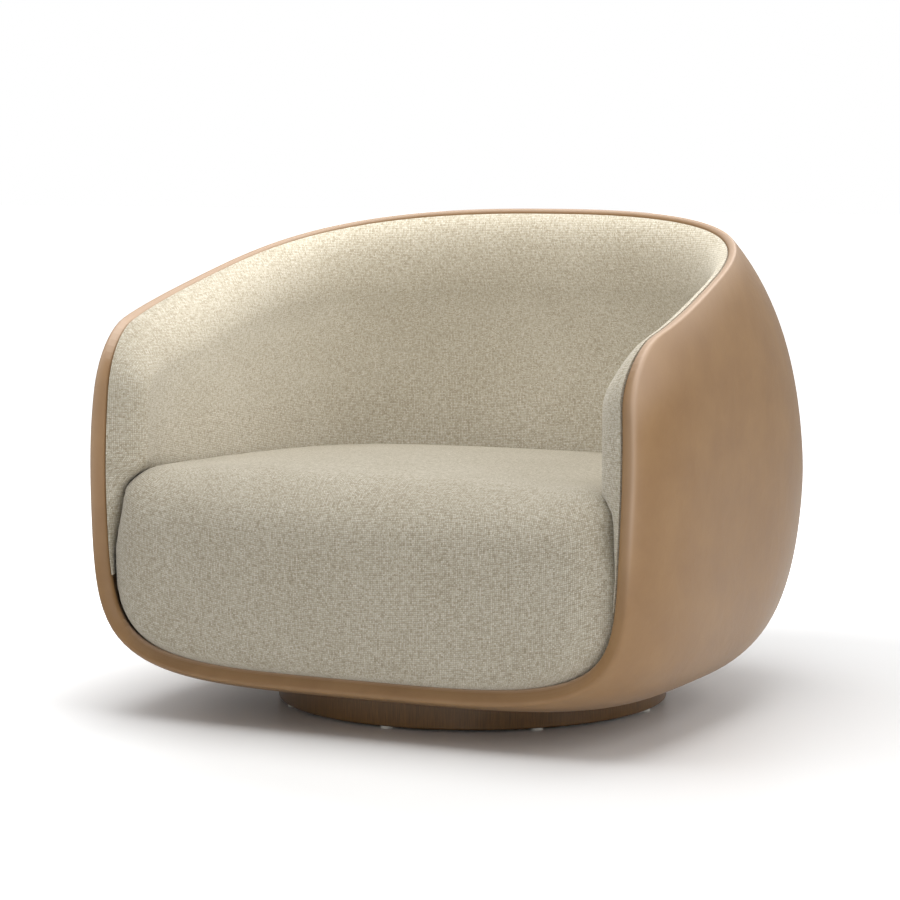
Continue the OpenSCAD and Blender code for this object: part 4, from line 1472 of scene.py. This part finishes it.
@dataclass(frozen=True)
class Studio:
    """Camera, lamps, floor and white surround."""

    camera_place: Spot = (1.8889, -3.9106, 0.8125)
    heading: float = math.radians(26.3736)
    pitch: float = math.radians(5.8879)
    focal_px: float = 2936.5
    frame_px: float = 900.0
    sensor_mm: float = 36.0
    view_end: float = 100.0
    floor_size: float = 60.0
    floor_paint: str = "#F4F4F4"
    # The floor's camera-only glow: the point it is centred on, the distances over which it rises, and its
    # full strength.
    floor_middle: Spot = (0.4, -0.05, 0.0)
    white_from: float = 0.7
    white_to: float = 1.4
    white_glow: float = 0.85
    fill: float = 0.41

    def camera(self) -> None:
        """Places the camera where the photograph was taken from."""
        data = bpy.data.cameras.new("camera")
        data.sensor_width = self.sensor_mm
        data.lens = self.focal_px / self.frame_px * self.sensor_mm
        data.clip_end = self.view_end
        view = bpy.data.objects.new("camera", data)
        view.location = self.camera_place
        view.rotation_euler = (math.pi / 2 - self.pitch, 0, self.heading)
        bpy.context.scene.collection.objects.link(view)
        bpy.context.scene.camera = view

    def floor(self) -> None:
        """Lays the wide pale floor. For the camera alone it glows, from nothing near a point by the
        chair's right side up to pure white further out; this painted light also lightens the chair's
        shadow towards its edge, more on the left than on the right.
        """
        deselect()
        bpy.ops.mesh.primitive_plane_add(size=self.floor_size, location=(0, 0, 0))
        floor = bpy.context.object
        floor.name = "floor"
        r = Recipe("white_studio_floor")
        paint = r.add("BsdfPrincipled", {"Base Color": linear(self.floor_paint), "Roughness": 0.35,
                                         "Specular IOR Level": 0.3})
        place = r.add("TexCoord", out="Object")
        off = r.add("VectorMath", {0: place, 1: self.floor_middle}, operation="SUBTRACT")
        away = r.add("VectorMath", {0: off}, "Value", operation="LENGTH")
        white = r.add("MapRange", {0: away, 1: self.white_from, 2: self.white_to, 3: 0.0,
                                   4: self.white_glow}, interpolation_type="SMOOTHSTEP")
        seen = r.add("Math", {0: r.add("LightPath", out="Is Camera Ray"), 1: white}, operation="MULTIPLY")
        glow = r.add("Emission", {"Color": WHITE, "Strength": seen})
        floor.data.materials.append(r.finish(r.add("AddShader", {0: paint, 1: glow})))

    def surround(self) -> None:
        """Makes the surround white where it is seen, and a soft grey fill where it lights."""
        r = Recipe("surround", world=True)
        strength = r.add("MapRange", {0: r.add("LightPath", out="Is Camera Ray"), 3: self.fill, 4: 1.0})
        bpy.context.scene.world = r.finish(r.add("Background", {"Color": WHITE, "Strength": strength}))

    def light(self) -> bpy.types.Collection:
        """Hangs the lamps.

        Returns:
            The collection of the pieces that the flagged lamps fall on.
        """
        for lamp in (Lamp("overhead", (0, -0.3, 3.0), (0, -0.1, 0.3), (3.0, 3.0), 86),
                     Lamp("right", (3.2, -0.6, 2.0), (0, 0, 0.4), (1.8, 2.4), 41),
                     Lamp("front", (1.2, -3.4, 1.0), (0.2, -0.35, 0.3), (0.3, 1.4), 9),
                     Lamp("behind", (0.4, 2.8, 2.6), (0, 0, 0.4), (2.4, 1.6), 16)):
            lamp.hang()
        only = bpy.data.collections.new("lining")
        for lamp in (Lamp("lining_left", (0.3, -0.2, 0.95), (-0.4, -0.1, 0.5), (0.4, 0.4), 0.6),
                     Lamp("lining_back", (0.0, -0.3, 0.85), (0, 0.4, 0.6), (0.5, 0.5), 3.4),
                     Lamp("lining_right", (-0.25, -0.1, 0.95), (0.35, 0.15, 0.68), (0.4, 0.4), 0.9)):
            lamp.hang(only)
        return only

    def build(self) -> bpy.types.Collection:
        """Sets up the whole studio and returns the collection that the flagged lamps fall on."""
        self.camera()
        self.floor()
        self.surround()
        bpy.context.scene.view_settings.view_transform = "Standard"
        return self.light()


def main() -> None:
    """Builds the studio and every piece of the chair, in order."""
    logging.basicConfig(level=logging.INFO, format="%(name)s: %(message)s")
    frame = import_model()
    lit_lining = Studio().build()
    egg = EggForm()
    seat = SeatForm(egg)
    dress(LeatherShell(egg).build(), AnilineLeather().build())
    # Moulded birch under its covers, bare and pale.
    dress(MouldedCore(egg).build(), StainedWood("moulded_ply", "#DCC9A6", "#C7B189", 0.7).build())
    weave = WovenCloth().build()
    pad = LinedPad(egg, seat).build()
    lit_lining.objects.link(pad)
    for piece in (pad, SeatBlock(seat).build()):
        dress(piece, weave)
    Carcass(frame["nodes"]).dress()


if __name__ == "__main__":
    main()
